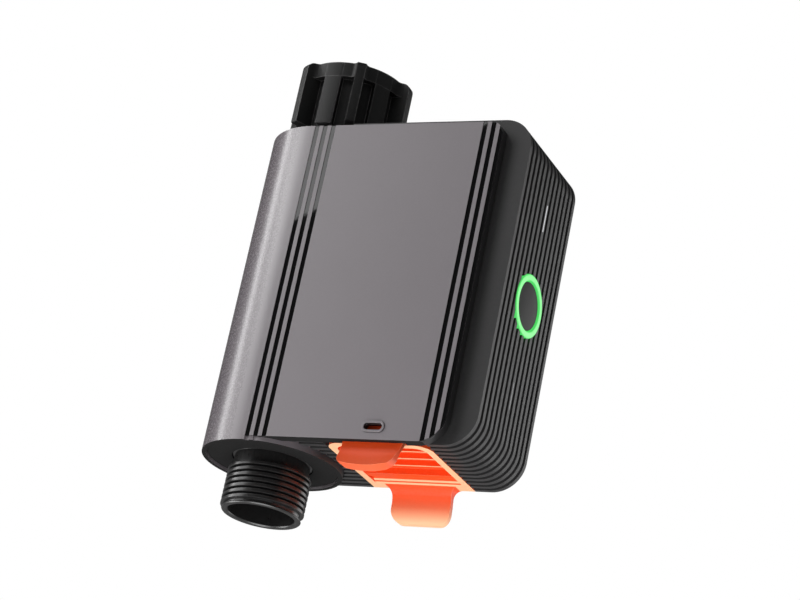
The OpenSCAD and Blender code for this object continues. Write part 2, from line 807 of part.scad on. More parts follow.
module turbine() {
    color([0.92, 0.92, 0.9]) translate([0, 0, 22]) difference() {
        union() {
            cylinder(r = 2.6, h = turbine_l);
            intersection() {
                cylinder(r = turbine_r, h = turbine_l);
                for (i = [0 : turbine_blades - 1]) rotate(i * 360 / turbine_blades)
                    translate([2, 0, turbine_l / 2]) rotate([turbine_lean, 0, 0])
                        translate([0, -0.5, -turbine_l]) cube([20, 1, 2 * turbine_l]);
            }
        }
        translate([0, 0, -1]) cylinder(r = turbine_axle_r + turn_gap, h = big);
    }
}

module turbine_axle() {
    color([0.8, 0.8, 0.82]) translate([0, 0, 15]) cylinder(r = turbine_axle_r, h = turbine_l + 14);
}

module cage() {
    difference() {
        union() {
            difference() {
                cylinder(r = turbine_r + 0.38, h = 4);
                translate([0, 0, -1]) cylinder(r = turbine_r - 1, h = 6);
            }
            cylinder(r = 2, h = 7.8);
            for (a = [0, 120, 240]) rotate(a) translate([0, -0.6, 0]) cube([turbine_r, 1.2, 4]);
        }
        translate([0, 0, -1]) cylinder(r = turbine_axle_r, h = 12);
    }
}

module turbine_cages() {
    color([0.85, 0.85, 0.83]) {
        translate([0, 0, 14]) cage();
        translate([0, 0, turbine_l + 30]) mirror([0, 0, 1]) cage();
    }
}

module flow_sensor() {
    color([0.05, 0.2, 0.1]) translate([outlet_neck + 1.6, -3, 23]) cube([1, 6, 10]);
    color([0.05, 0.05, 0.05]) translate([outlet_neck + 2.6, -2, 26]) cube([1.4, 4, 3]);
}

module main_board() {
    color([0.03, 0.25, 0.12]) difference() {
        translate([board_x, box_mid - board_w / 2, board_low]) cube([board_t, board_w, board_h]);
        boardSpots() translate([0, 0, board_x - 1]) cylinder(r = board_screw_r + 0.2, h = 5);
    }
}

module board_screws() {
    color([0.7, 0.7, 0.72]) boardSpots() difference() {
        union() {
            translate([0, 0, board_x - 1.2]) cylinder(r = board_screw_r + 1, h = 1.2);
            translate([0, 0, board_x - 0.1]) cylinder(r = board_screw_r, h = 5.5);
        }
        translate([0, 0, board_x - 2]) cylinder(r = 0.8, h = 1.5, $fn = 6);
    }
}

module radio_module() {
    color([0.72, 0.72, 0.74]) translate([board_x - 3.2, box_mid - 9, button_z + 12]) {
        cube([2.4, 18, 18]);
        translate([2.4, -1, -1]) cube([0.8, 20, 26]);
    }
}

module push_switch() {
    color([0.1, 0.1, 0.1]) {
        translate([board_x + board_t, box_mid - 3, button_z - 3]) cube([1.4, 6, 6]);
        alongX(board_x + board_t) translate([box_mid, button_z]) cylinder(r = 1.6, h = 1.8);
    }
}

module status_lights() {
    color([0.95, 0.95, 0.85]) {
        for (a = [0, 90, 180, 270]) alongX(board_x + board_t)
            translate([box_mid, button_z]) rotate(a) translate([ring_r - 1.4, 0, 0.45])
                cube([1.2, 2, 0.9], center = true);
        for (s = [-1, 1]) translate([board_x + board_t, bar_y - 0.6, button_z + s * bar_rise - 1])
            cube([0.9, 1.2, 2]);
    }
}

module light_ring() {
    color([0.3, 1, 0.4]) alongX(0) translate([box_mid, button_z]) difference() {
        union() {
            translate([0, 0, ring_back]) cylinder(r = ring_r, h = box_right + ring_lift - ring_back);
            translate([0, 0, ring_seat - 1.6]) cylinder(r = ring_r + 1.4, h = 1.5);
        }
        translate([0, 0, ring_back - 1]) cylinder(r = ring_in, h = 20);
        translate([0, 0, ring_back - 1]) cylinder(r = ring_step, h = ring_seat - ring_back + 1);
    }
}

module light_bars() {
    color([1, 1, 1]) for (s = [-1, 1])
        alongX(room_right - 2.4) translate([bar_y, button_z + s * bar_rise])
            linear_extrude(box_right - room_right + 2.45) softRect(bar_w, bar_l, bar_w / 2 - 0.05);
}

module button_cap() {
    dome_r = (button_r * button_r + button_dome * button_dome) / 2 / button_dome;
    face = box_right - 0.2;
    color([0.22, 0.22, 0.23]) alongX(0) translate([box_mid, button_z]) {
        translate([0, 0, button_back]) cylinder(r = button_r + 1.4, h = 1.6);
        translate([0, 0, button_back + 1]) cylinder(r = button_r, h = face - button_back - 1);
        intersection() {
            translate([0, 0, face + button_dome - dome_r]) sphere(r = dome_r);
            translate([0, 0, face - 0.5]) cylinder(r = button_r, h = 5);
        }
        translate([0, 0, board_x + board_t + 1.9 + button_travel])
            cylinder(r = 2, h = button_back - board_x - board_t - 1.4 - button_travel);
    }
}

module battery_tray() {
    color([0.1, 0.1, 0.11]) difference() {
        union() {
            translate([cap_x - tray_w / 2, tray_y - tray_w / 2, tray_low])
                cube([tray_w, tray_w, tray_high - tray_low]);
            // ears for the latch pin
            for (s = [-1, 1])
                translate([latch_x + s * (latch_w / 2 + 1.05) - 0.7, latch_y - 1.2, latch_pivot_z - 2])
                    cube([1.4, tray_y - tray_w / 2 - latch_y + 1.6, 4]);
        }
        cellSpots() translate([0, 0, tray_low + 2])
            cylinder(r = cell_r + 0.2, h = tray_high - tray_low - 3.6);
        // openings that show the cells
        for (i = [-1, 1], j = [-1, 1]) {
            translate([cap_x + i * tray_w / 2 - 3, tray_y + j * cell_pitch / 2 - 4.5, tray_low + 14])
                cube([6, 9, cell_l - 18]);
            translate([cap_x + i * cell_pitch / 2 - 4.5, tray_y + j * tray_w / 2 - 3, tray_low + 14])
                cube([9, 6, cell_l - 18]);
        }
        alongX(0) translate([latch_y, latch_pivot_z]) cylinder(r = latch_pin_r, h = big);
    }
}

module battery_cells() {
    color([0.75, 0.55, 0.2]) for (i = [-1, 1], j = [-1, 1])
        translate([cap_x + i * cell_pitch / 2, tray_y + j * cell_pitch / 2, (cell_low + cell_high) / 2])
            rotate([i * j > 0 ? 0 : 180, 0, 0]) {
                translate([0, 0, -cell_l / 2]) cylinder(r = cell_r, h = cell_l - 1.3);
                translate([0, 0, cell_l / 2 - 1.4]) cylinder(r = 2.75, h = 1.4);
            }
}

module contact_strips() {
    color([0.82, 0.8, 0.74]) {
        cellSpots() {
            translate([0, 0, tray_low + 2]) cylinder(r = 5, h = 0.4);
            translate([0, 0, tray_low + 2.3]) cylinder(r = 2, h = cell_low - tray_low - 2.3);
            translate([0, 0, tray_high - 2]) cylinder(r = 5, h = 0.4);
            translate([0, 0, cell_high]) cylinder(r1 = 2, r2 = 3, h = tray_high - 1.9 - cell_high);
        }
        for (s = [-1, 1]) translate([cap_x + s * cell_pitch / 2, tray_y, tray_high])
            cylinder(r = 2.4, h = 0.4);
    }
}

module bay_contacts() {
    color([0.85, 0.8, 0.6]) for (s = [-1, 1])
        translate([cap_x + s * cell_pitch / 2, tray_y, tray_high + 0.5])
            cylinder(r = 1.8, h = bay_top - tray_high - 0.5);
}

// rear tab seen from the side, starting inside the cap's hollow
function tabInner(a) = [box_back - 9.5 + 8.9 * sin(a), -4 + (cap_low + 5.2) * cos(a)];
function tabLow(t, out) = [box_back - 0.6 + out + tab_flare * t * t, -4 - (tab_drop - 4) * t];

module tabSide() {
    polygon(concat([for (a = [0 : 9 : 90]) tabInner(a)], [for (t = [0.1 : 0.1 : 1]) tabLow(t, 0)],
        [for (t = [1 : -0.1 : 0]) tabLow(t, 1.7)], [[box_back, cap_low], [box_back, cap_high - 1],
        [box_back - 9.5, cap_high - 1]]));
}

module tabFront() {
    translate([tab_x, 4.5 - tab_drop / 2]) softRect(tab_w, tab_drop + 9, 4);
    for (s = [-1, 1]) translate([tab_x + s * tab_w / 2, cap_low]) difference() {
        translate([-3, -3]) square([6, 6]);
        translate([s * 3, -3]) circle(3);
    }
}

// square at the back, round corners at the front
module capOutline(w, front, depth, corner) {
    translate([cap_x - w / 2, front + corner]) square([w, depth - corner]);
    translate([cap_x, front + corner]) softRect(w, 2 * corner, corner - 0.01);
}

module battery_cap() {
    depth = box_back - cap_front;
    inner_w = cap_w - 2 * cap_border;
    color([1, 0.3, 0.1]) {
        difference() {
            translate([0, 0, cap_low]) linear_extrude(cap_t) capOutline(cap_w, cap_front, depth, cap_corner);
            translate([0, 0, cap_low - 1]) linear_extrude(cap_hollow + 1)
                capOutline(inner_w, cap_front + cap_border, depth, cap_corner - cap_border / 2);
            // seat of the seal
            difference() {
                translate([cap_x - big / 2, -big / 2, cap_high - 0.8]) cube([big, big, 5]);
                translate([cap_x - tray_w / 2, tray_y - tray_w / 2, 0]) cube([tray_w, tray_w, 30]);
            }
        }
        // ribs across the hollow
        for (i = [0 : cap_ribs - 1])
            translate([cap_x - inner_w / 2, cap_front + 6.4 + i * 6.05, cap_low + 0.6])
                cube([inner_w, 0.6, cap_hollow]);
        translate([cap_x - inner_w / 2, box_back - 12.2, cap_low + 0.3]) cube([inner_w, 2.8, cap_hollow]);
        intersection() {
            translate([cap_x - inner_w / 2, -big / 2, cap_low]) cube([inner_w, big, cap_t - 0.8]);
            alongX(0) linear_extrude(big) tabSide();
        }
        intersection() {
            slab(-big / 2, big / 2) tabFront();
            alongX(0) linear_extrude(big) tabSide();
            translate([0, 0, cap_low - big]) cube([big, big, big]);
        }
    }
}

module cap_seal() {
    color([0.05, 0.05, 0.05]) translate([cap_x, tray_y, cap_high - 0.8]) difference() {
        translate([-tray_w / 2 - 0.9, -tray_w / 2 - 0.9, 0]) cube([tray_w + 1.8, tray_w + 1.8, 1]);
        translate([-tray_w / 2, -tray_w / 2, -1]) cube([tray_w, tray_w, 4]);
    }
}

// front and back of the latch seen from the side
function latchFace(t) = [latch_front - latch_flare * t * t, 1.5 - (latch_drop + 0.8) * t];
function latchBack(t) = [latch_front + latch_t - (latch_flare - latch_lip) * t * t, 1.5 - (latch_drop + 1.5) * t];

module latch() {
    color([1, 0.3, 0.1]) {
        intersection() {
            alongX(latch_x - latch_w / 2) linear_extrude(latch_w) polygon(concat(
                [[latch_front + latch_t, latch_pivot_z + 1.5], [latch_front, latch_pivot_z + 1.5]],
                [for (t = [0 : 0.1 : 1]) latchFace(t)], [for (t = [1 : -0.1 : 0]) latchBack(t)]));
            slab(-big, big) translate([latch_x, 20 - latch_drop]) softRect(latch_w, 40, latch_corner);
        }
        difference() {
            union() {
                alongX(latch_x - latch_w / 2) translate([latch_y, latch_pivot_z])
                    cylinder(r = 1.5, h = latch_w);
                translate([latch_x - latch_w / 2, latch_front + 0.5, latch_pivot_z - 1.5])
                    cube([latch_w, latch_y - latch_front - 0.5, 3]);
            }
            alongX(0) translate([latch_y, latch_pivot_z]) cylinder(r = latch_pin_r + turn_gap, h = big);
        }
        // catch seen through the window
        slab(latch_front - 0.2, latch_front + 0.5) translate([window_x, window_z - window_h / 4])
            softRect(window_w - 0.8, window_h / 2 - 0.2, window_h / 4 - 0.15);
    }
}

module latch_pin() {
    color([0.78, 0.78, 0.8]) alongX(latch_x - latch_w / 2 - 1.7)
        translate([latch_y, latch_pivot_z]) cylinder(r = latch_pin_r, h = latch_w + 3.4);
}

front_shell();
trim_strips();
window_bezel();
rear_housing();
back_cover();
cover_gasket();
cover_screws();
base_ring();
valve_body();
outlet_body();
pipe_seal();
inlet_tail();
inlet_nut();
inlet_washer();
inlet_screen();
ball();
seat_rings();
stem();
stem_seals();
output_gear();
compound_gear();
gear_axle();
motor_pinion();
motor();
gear_frame();
turbine();
turbine_axle();
turbine_cages();
flow_sensor();
main_board();
board_screws();
radio_module();
push_switch();
status_lights();
light_ring();
light_bars();
button_cap();
battery_tray();
battery_cells();
contact_strips();
bay_contacts();
battery_cap();
cap_seal();
latch();
latch_pin();
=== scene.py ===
import bpy
import bmesh
import json
import math
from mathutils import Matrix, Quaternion, Vector

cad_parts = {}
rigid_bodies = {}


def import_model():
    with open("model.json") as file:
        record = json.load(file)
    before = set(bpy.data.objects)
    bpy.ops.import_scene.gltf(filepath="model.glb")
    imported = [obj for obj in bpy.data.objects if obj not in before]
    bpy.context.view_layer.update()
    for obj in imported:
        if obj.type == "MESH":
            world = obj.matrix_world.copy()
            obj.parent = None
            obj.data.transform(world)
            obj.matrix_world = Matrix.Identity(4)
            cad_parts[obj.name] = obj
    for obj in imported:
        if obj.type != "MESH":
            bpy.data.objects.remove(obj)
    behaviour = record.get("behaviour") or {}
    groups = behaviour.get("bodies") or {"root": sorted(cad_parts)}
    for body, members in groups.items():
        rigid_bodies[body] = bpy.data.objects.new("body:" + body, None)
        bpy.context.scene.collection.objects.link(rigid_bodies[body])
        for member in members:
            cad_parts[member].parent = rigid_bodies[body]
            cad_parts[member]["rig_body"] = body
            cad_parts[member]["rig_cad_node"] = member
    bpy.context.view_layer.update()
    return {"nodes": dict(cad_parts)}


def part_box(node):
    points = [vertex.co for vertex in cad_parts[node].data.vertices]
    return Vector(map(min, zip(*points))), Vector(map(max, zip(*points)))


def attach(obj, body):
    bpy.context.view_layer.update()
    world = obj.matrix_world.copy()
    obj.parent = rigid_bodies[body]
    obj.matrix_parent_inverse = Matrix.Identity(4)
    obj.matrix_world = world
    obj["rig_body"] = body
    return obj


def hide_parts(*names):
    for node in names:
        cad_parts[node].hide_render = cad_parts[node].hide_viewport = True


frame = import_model()
nodes = frame["nodes"]
mm = 0.001
weldGap = 0.000002  # points nearer than this are merged
flatAngle = 0.3  # degrees, under which two faces of a solid count as one
noiseSpan = (0.3, 0.7)  # most of a noise texture's values lie here
print("frame loaded,", len(nodes), "nodes")


# small hand tools

def deselect():
    if bpy.context.object and bpy.context.object.mode != "OBJECT":
        bpy.ops.object.mode_set(mode="OBJECT")
    bpy.ops.object.select_all(action="DESELECT")


def solo(obj):
    deselect()
    obj.select_set(True)
    bpy.context.view_layer.objects.active = obj


# in edit mode, selects the points, edges or faces that pass a test
def pick(piece, kind, test):
    bpy.ops.mesh.select_mode(type=kind)
    bpy.ops.mesh.select_all(action="DESELECT")
    bm = bmesh.from_edit_mesh(piece.data)
    for item in {"VERT": bm.verts, "EDGE": bm.edges, "FACE": bm.faces}[kind]:
        item.select = test(item)
    bm.select_flush_mode()
    bmesh.update_edit_mesh(piece.data)


def copyNode(nodeName, pieceName):
    solo(nodes[nodeName])
    bpy.ops.object.duplicate()
    piece = bpy.context.object
    bpy.ops.object.parent_clear(type="CLEAR_KEEP_TRANSFORM")
    piece.name = pieceName
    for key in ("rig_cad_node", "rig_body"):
        if key in piece:
            del piece[key]
    bpy.ops.mesh.customdata_custom_splitnormals_clear()
    bpy.ops.object.mode_set(mode="EDIT")
    bpy.ops.mesh.select_all(action="SELECT")
    bpy.ops.mesh.remove_doubles(threshold=weldGap)
    bpy.ops.mesh.dissolve_limited(angle_limit=math.radians(flatAngle))
    bpy.ops.object.mode_set(mode="OBJECT")
    return piece


# each rule is a bevel weight and a test on an edge's two ends in mm, and the first rule that fits holds
def weightEdges(piece, rules, sharp=25):
    solo(piece)
    bpy.ops.object.mode_set(mode="EDIT")
    done = set()

    def fits(edge, test):
        if edge.index in done or len(edge.link_faces) != 2:
            return False
        if edge.calc_face_angle(0) < math.radians(sharp):
            return False
        if not test(edge.verts[0].co / mm, edge.verts[1].co / mm):
            return False
        done.add(edge.index)
        return True

    for weight, test in rules:
        pick(piece, "EDGE", lambda edge: fits(edge, test))
        bpy.ops.transform.edge_bevelweight(value=weight)
    bpy.ops.object.mode_set(mode="OBJECT")


def everyEdge(a, b):
    return True


# edges farther than r from the column's axis
def beyond(r):
    return lambda a, b: min(math.hypot(a.x, a.y), math.hypot(b.x, b.y)) > r


def roundEdges(piece, width, segments=3, weighted=False, angle=25, smooth=32):
    solo(piece)
    mod = piece.modifiers.new("soft edges", "BEVEL")
    mod.width = width * mm
    mod.segments = segments
    mod.limit_method = "WEIGHT" if weighted else "ANGLE"
    mod.angle_limit = math.radians(angle)
    mod.miter_outer = "MITER_ARC"
    bpy.ops.object.modifier_apply(modifier=mod.name)
    bpy.ops.object.shade_smooth_by_angle(angle=math.radians(smooth))
    mod = piece.modifiers.new("even shading", "WEIGHTED_NORMAL")
    mod.keep_sharp = True
    bpy.ops.object.modifier_apply(modifier=mod.name)


# a closed outline of (radius, height) in mm, spun about an axis
# a part turn begins at the start angle and goes clockwise
def turned(pieceName, outline, centre=(0, 0, 0), alongX=False, steps=96, start=0, sweep=360):
    deselect()
    bpy.ops.mesh.primitive_plane_add(size=mm, location=(0, 0, 0))
    piece = bpy.context.object
    piece.name = pieceName
    bpy.ops.object.mode_set(mode="EDIT")
    bpy.ops.mesh.select_mode(type="VERT")
    bpy.ops.mesh.select_all(action="SELECT")
    bpy.ops.mesh.merge(type="CENTER")
    side = math.radians(start)

    def spot(r, h):
        if alongX:
            return (Vector(centre) + Vector((h, r, 0))) * mm
        return (Vector(centre) + Vector((r * math.cos(side), r * math.sin(side), h))) * mm

    here = Vector((0, 0, 0))
    for number, (r, h) in enumerate(outline):
        there = spot(r, h)
        if number == 0:
            bpy.ops.transform.translate(value=there - here)
        else:
            bpy.ops.mesh.extrude_vertices_move(TRANSFORM_OT_translate={"value": there - here})
        here = there
    pick(piece, "VERT", lambda vert: len(vert.link_edges) == 1)
    bpy.ops.mesh.edge_face_add()
    bpy.ops.mesh.select_all(action="SELECT")
    if sweep < 360:
        bpy.ops.mesh.edge_face_add()
    bpy.ops.mesh.spin(steps=steps, angle=math.radians(sweep), center=Vector(centre) * mm,
                      axis=(1, 0, 0) if alongX else (0, 0, 1))
    bpy.ops.mesh.select_all(action="SELECT")
    bpy.ops.mesh.remove_doubles(threshold=weldGap)
    bpy.ops.mesh.normals_make_consistent(inside=False)
    bpy.ops.object.mode_set(mode="OBJECT")
    return piece


def joinTo(piece, extra):
    solo(piece)
    extra.select_set(True)
    bpy.ops.object.join()


def finishPiece(piece, material, body, *replaced):
    piece.data.materials.clear()
    piece.data.materials.append(material)
    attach(piece, body)
    if replaced:
        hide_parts(*replaced)


# a copy of a solid with all its edges rounded
def softCopy(nodeName, pieceName, material, body, plan):
    piece = copyNode(nodeName, pieceName)
    roundEdges(piece, plan["edge"], plan["segments"], smooth=plan["smooth"])
    finishPiece(piece, material, body, nodeName)


# shared effects as node groups

def newGroup(name, inputs, outputs):
    group = bpy.data.node_groups.new(name, "ShaderNodeTree")
    for label, value in inputs:
        socket = group.interface.new_socket(label, in_out="INPUT", socket_type="NodeSocketFloat")
        socket.default_value = value
    for label in outputs:
        group.interface.new_socket(label, in_out="OUTPUT", socket_type="NodeSocketFloat")
    return group, group.nodes.new("NodeGroupInput"), group.nodes.new("NodeGroupOutput")


def mathNode(tree, operation, a, b=None, clamp=False):
    node = tree.nodes.new("ShaderNodeMath")
    node.operation = operation
    node.use_clamp = clamp
    for socket, value in zip(node.inputs, (a, b)):
        if value is None:
            continue
        if isinstance(value, (int, float)):
            socket.default_value = value
        else:
            tree.links.new(value, socket)
    return node.outputs[0]


# turns the values of one span into those of another
def mapValue(tree, value, span, to=(0, 1)):
    node = tree.nodes.new("ShaderNodeMapRange")
    tree.links.new(value, node.inputs["Value"])
    for label, number in zip(("From Min", "From Max", "To Min", "To Max"), (*span, *to)):
        node.inputs[label].default_value = number
    return node.outputs["Result"]


def metres(span):
    return [value * mm for value in span]


def mixColour(tree, factor, a, b):
    node = tree.nodes.new("ShaderNodeMix")
    node.data_type = "RGBA"
    for socket, value in ((node.inputs[0], factor), (node.inputs[6], a), (node.inputs[7], b)):
        if isinstance(value, (int, float)):
            socket.default_value = value
        elif isinstance(value, tuple):
            socket.default_value = (*value, 1)
        else:
            tree.links.new(value, socket)
    return node.outputs[2]


def noiseNode(tree, vector, scale, detail, rough):
    node = tree.nodes.new("ShaderNodeTexNoise")
    node.inputs["Detail"].default_value = detail
    node.inputs["Roughness"].default_value = rough
    tree.links.new(vector, node.inputs["Vector"])
    if isinstance(scale, (int, float)):
        node.inputs["Scale"].default_value = scale
    else:
        tree.links.new(scale, node.inputs["Scale"])
    return node.outputs["Fac"]


def objectPlace(tree):
    return tree.nodes.new("ShaderNodeTexCoord").outputs["Object"]


# fine moulded grain: height for the bump, speck for roughness, drift for slow changes of tone
grainPlan = {"scale": 2400, "drift": 30, "pitShare": 0.7, "fineShare": 0.6, "speckScale": 0.55}
grainInputs = [("Scale", grainPlan["scale"]), ("Drift Scale", grainPlan["drift"])]
grainGroup, gIn, gOut = newGroup("mouldGrain", grainInputs, ["Height", "Speck", "Drift"])
gCoord = objectPlace(grainGroup)
gFine = noiseNode(grainGroup, gCoord, gIn.outputs["Scale"], detail=2, rough=0.6)
gPits = grainGroup.nodes.new("ShaderNodeTexVoronoi")
gPits.feature = "SMOOTH_F1"
grainGroup.links.new(gCoord, gPits.inputs["Vector"])
grainGroup.links.new(gIn.outputs["Scale"], gPits.inputs["Scale"])
gHeight = mathNode(grainGroup, "ADD",
                   mathNode(grainGroup, "MULTIPLY", gPits.outputs["Distance"], grainPlan["pitShare"]),
                   mathNode(grainGroup, "MULTIPLY", gFine, grainPlan["fineShare"]))
gSpeckScale = mathNode(grainGroup, "MULTIPLY", gIn.outputs["Scale"], grainPlan["speckScale"])
gSpeck = noiseNode(grainGroup, gCoord, gSpeckScale, detail=4, rough=0.65)
gDrift = noiseNode(grainGroup, gCoord, gIn.outputs["Drift Scale"], detail=4, rough=0.6)
for label, value in (("Height", gHeight), ("Speck", gSpeck), ("Drift", gDrift)):
    grainGroup.links.new(value, gOut.inputs[label])

# edge mask for wear, and for a painted highlight on cap, latch and nut: where the rounded normal leaves the
# flat one, broken up by noise
edgeMaskPlan = {"reach": 0.5, "break": 500, "samples": 4, "leaves": (0.985, 0.8), "gaps": (0.35, 0.7),
            "gapsTo": (0.15, 1)}
edgeMaskInputs = [("Reach", edgeMaskPlan["reach"] * mm), ("Break Scale", edgeMaskPlan["break"])]
edgeWearAndSheenGroup, wIn, wOut = newGroup("edgeWearAndSheen", edgeMaskInputs, ["Mask"])
wSoft = edgeWearAndSheenGroup.nodes.new("ShaderNodeBevel")
wSoft.samples = edgeMaskPlan["samples"]
edgeWearAndSheenGroup.links.new(wIn.outputs["Reach"], wSoft.inputs["Radius"])
wDot = edgeWearAndSheenGroup.nodes.new("ShaderNodeVectorMath")
wDot.operation = "DOT_PRODUCT"
edgeWearAndSheenGroup.links.new(wSoft.outputs["Normal"], wDot.inputs[0])
edgeWearAndSheenGroup.links.new(edgeWearAndSheenGroup.nodes.new("ShaderNodeNewGeometry").outputs["Normal"], wDot.inputs[1])
wEdge = mapValue(edgeWearAndSheenGroup, wDot.outputs["Value"], edgeMaskPlan["leaves"])
wNoise = noiseNode(edgeWearAndSheenGroup, objectPlace(edgeWearAndSheenGroup), wIn.outputs["Break Scale"], detail=5, rough=0.7)
wBreak = mapValue(edgeWearAndSheenGroup, wNoise, edgeMaskPlan["gaps"], edgeMaskPlan["gapsTo"])
edgeWearAndSheenGroup.links.new(mathNode(edgeWearAndSheenGroup, "MULTIPLY", wEdge, wBreak, clamp=True), wOut.inputs["Mask"])

# drawn or turned metal: fine lines across one axis
linePlan = {"stainScale": 160}
lineAxes = ("Along X", "Along Y", "Along Z")
lineGroup, lIn, lOut = newGroup("toolLines", [(label, 1) for label in lineAxes], ["Line", "Stain"])
lCoord = objectPlace(lineGroup)
lPack = lineGroup.nodes.new("ShaderNodeCombineXYZ")
for index, label in enumerate(lineAxes):
    lineGroup.links.new(lIn.outputs[label], lPack.inputs[index])
lScale = lineGroup.nodes.new("ShaderNodeVectorMath")
lScale.operation = "MULTIPLY"
lineGroup.links.new(lCoord, lScale.inputs[0])
lineGroup.links.new(lPack.outputs[0], lScale.inputs[1])
lLine = noiseNode(lineGroup, lScale.outputs[0], 1, detail=4, rough=0.7)
lStain = noiseNode(lineGroup, lCoord, linePlan["stainScale"], detail=5, rough=0.7)
lineGroup.links.new(lLine, lOut.inputs["Line"])
lineGroup.links.new(lStain, lOut.inputs["Stain"])
print("node groups ready")


def newMaterial(name):
    mat = bpy.data.materials.new(name)
    mat.use_nodes = True
    tree = mat.node_tree
    tree.nodes.clear()
    shader = tree.nodes.new("ShaderNodeBsdfPrincipled")
    out = tree.nodes.new("ShaderNodeOutputMaterial")
    tree.links.new(shader.outputs[0], out.inputs[0])
    return mat, tree, shader


def useGroup(tree, group, **values):
    node = tree.nodes.new("ShaderNodeGroup")
    node.node_tree = group
    for label, value in values.items():
        node.inputs[label.replace("_", " ")].default_value = value
    return node.outputs


def bumpTo(tree, shader, height, depth, strength=1.0):
    bump = tree.nodes.new("ShaderNodeBump")
    bump.inputs["Strength"].default_value = strength
    bump.inputs["Distance"].default_value = depth * mm
    tree.links.new(height, bump.inputs["Height"])
    tree.links.new(bump.outputs[0], shader.inputs["Normal"])


# place on the object and direction of the surface, each as X, Y and Z
def placeAndTurn(tree):
    coord = tree.nodes.new("ShaderNodeTexCoord")
    split = []
    for label in ("Object", "Normal"):
        node = tree.nodes.new("ShaderNodeSeparateXYZ")
        tree.links.new(coord.outputs[label], node.inputs[0])
        split.append(node.outputs)
    return split


# reach, depth and places in mm; a look's own values go before these
plasticUsual = {"drift": 25, "reach": 0.45, "break": 420, "speck": 0.15, "spec": 0.5}
metalUsual = {"reach": 0.3, "break": 600, "wearAndSheen": 0.5, "stain": (0.35, 0.7)}


def plastic(name, ownLook, finish=None):
    look = {**plasticUsual, **ownLook}
    mat, tree, shader = newMaterial(name)
    grain = useGroup(tree, grainGroup, Scale=look["grain"], Drift_Scale=look["drift"])
    wearAndSheen = useGroup(tree, edgeWearAndSheenGroup, Reach=look["reach"] * mm, Break_Scale=look["break"])
    body = mixColour(tree, grain["Drift"], look["dark"], look["light"])
    flecks = mapValue(tree, grain["Speck"], noiseSpan, (0, look["speck"]))
    # edge colour laid on by the edge mask: wear, and on some looks a painted highlight
    wornAndSheenEdges = mathNode(tree, "MULTIPLY", wearAndSheen["Mask"], look["wearAndSheen"])
    tint = mixColour(tree, wornAndSheenEdges, mixColour(tree, flecks, body, look["edge"]), look["edge"])
    if finish:
        tint = finish(tree, look, tint)
    tree.links.new(tint, shader.inputs["Base Color"])
    level = mapValue(tree, grain["Speck"], noiseSpan, look["rough"])
    if "polish" in look:  # the column is smoother than the plate
        place = placeAndTurn(tree)[0]
        less = mapValue(tree, place["X"], metres(look["polishX"]), (0, look["polish"]))
        level = mathNode(tree, "SUBTRACT", level, less)
    tree.links.new(level, shader.inputs["Roughness"])
    shader.inputs["Specular IOR Level"].default_value = look["spec"]
    bumpTo(tree, shader, grain["Height"], look["depth"], look["strength"])
    return mat


# painted highlight: the cap's flat lower rims, its ribs' lower faces and the end of its tab are painted paler,
# as if lit from below
def paintedRimSheen(tree, look, tint):
    place, turn = placeAndTurn(tree)
    inside = 0
    for low, high in look["rims"]:
        above = mapValue(tree, place["Z"], metres((low - look["soft"], low)))
        below = mapValue(tree, place["Z"], metres((high + look["soft"], high)))
        inside = mathNode(tree, "MAXIMUM", inside, mathNode(tree, "MULTIPLY", above, below))
    rim = mathNode(tree, "MULTIPLY", inside, mapValue(tree, turn["Z"], look["down"], (0, look["rimSheenShare"])))
    fade = mathNode(tree, "POWER", mapValue(tree, place["Z"], metres(look["fade"])), look["fadePower"])
    share = mathNode(tree, "MAXIMUM", rim, mathNode(tree, "MULTIPLY", fade, look["tabSheenShare"]))
    return mixColour(tree, share, tint, look["edge"])


# painted shade: the shell's side walls beyond the round column are darkened to near black, and so is the
# column's foot on the right, where they lie in shade
def shellPaintedShade(tree, look, tint):
    place, turn = placeAndTurn(tree)
    squares = [mathNode(tree, "MULTIPLY", place[axis], place[axis]) for axis in ("X", "Y")]
    far = mathNode(tree, "SQRT", mathNode(tree, "ADD", *squares))
    plate = mapValue(tree, far, metres((look["wallFrom"], look["wallFrom"] + look["soft"])))
    footSpan = metres((look["footTo"], look["footTo"] - look["soft"]))
    low = mapValue(tree, place["Z"], footSpan, (0, look["footShadeShare"]))
    footShade = mathNode(tree, "MULTIPLY", low, mapValue(tree, place["X"], metres(look["footX"])))
    side = mapValue(tree, turn["Y"], look["sideways"])
    wall = mathNode(tree, "MULTIPLY", side, mathNode(tree, "MAXIMUM", plate, footShade))
    return mixColour(tree, wall, tint, look["wall"])


def metal(name, ownLook):
    look = {**metalUsual, **ownLook}
    mat, tree, shader = newMaterial(name)
    x, y, z = look["lines"]
    lines = useGroup(tree, lineGroup, Along_X=x, Along_Y=y, Along_Z=z)
    wearAndSheen = useGroup(tree, edgeWearAndSheenGroup, Reach=look["reach"] * mm, Break_Scale=look["break"])
    body = mixColour(tree, mapValue(tree, lines["Stain"], look["stain"]), look["light"], look["dark"])
    tint = mixColour(tree, mathNode(tree, "MULTIPLY", wearAndSheen["Mask"], look["wearAndSheen"]), body, look["edge"])
    tree.links.new(tint, shader.inputs["Base Color"])
    shader.inputs["Metallic"].default_value = 1
    tree.links.new(mapValue(tree, lines["Line"], noiseSpan, look["rough"]), shader.inputs["Roughness"])
    bumpTo(tree, shader, lines["Line"], look["depth"])
    return mat
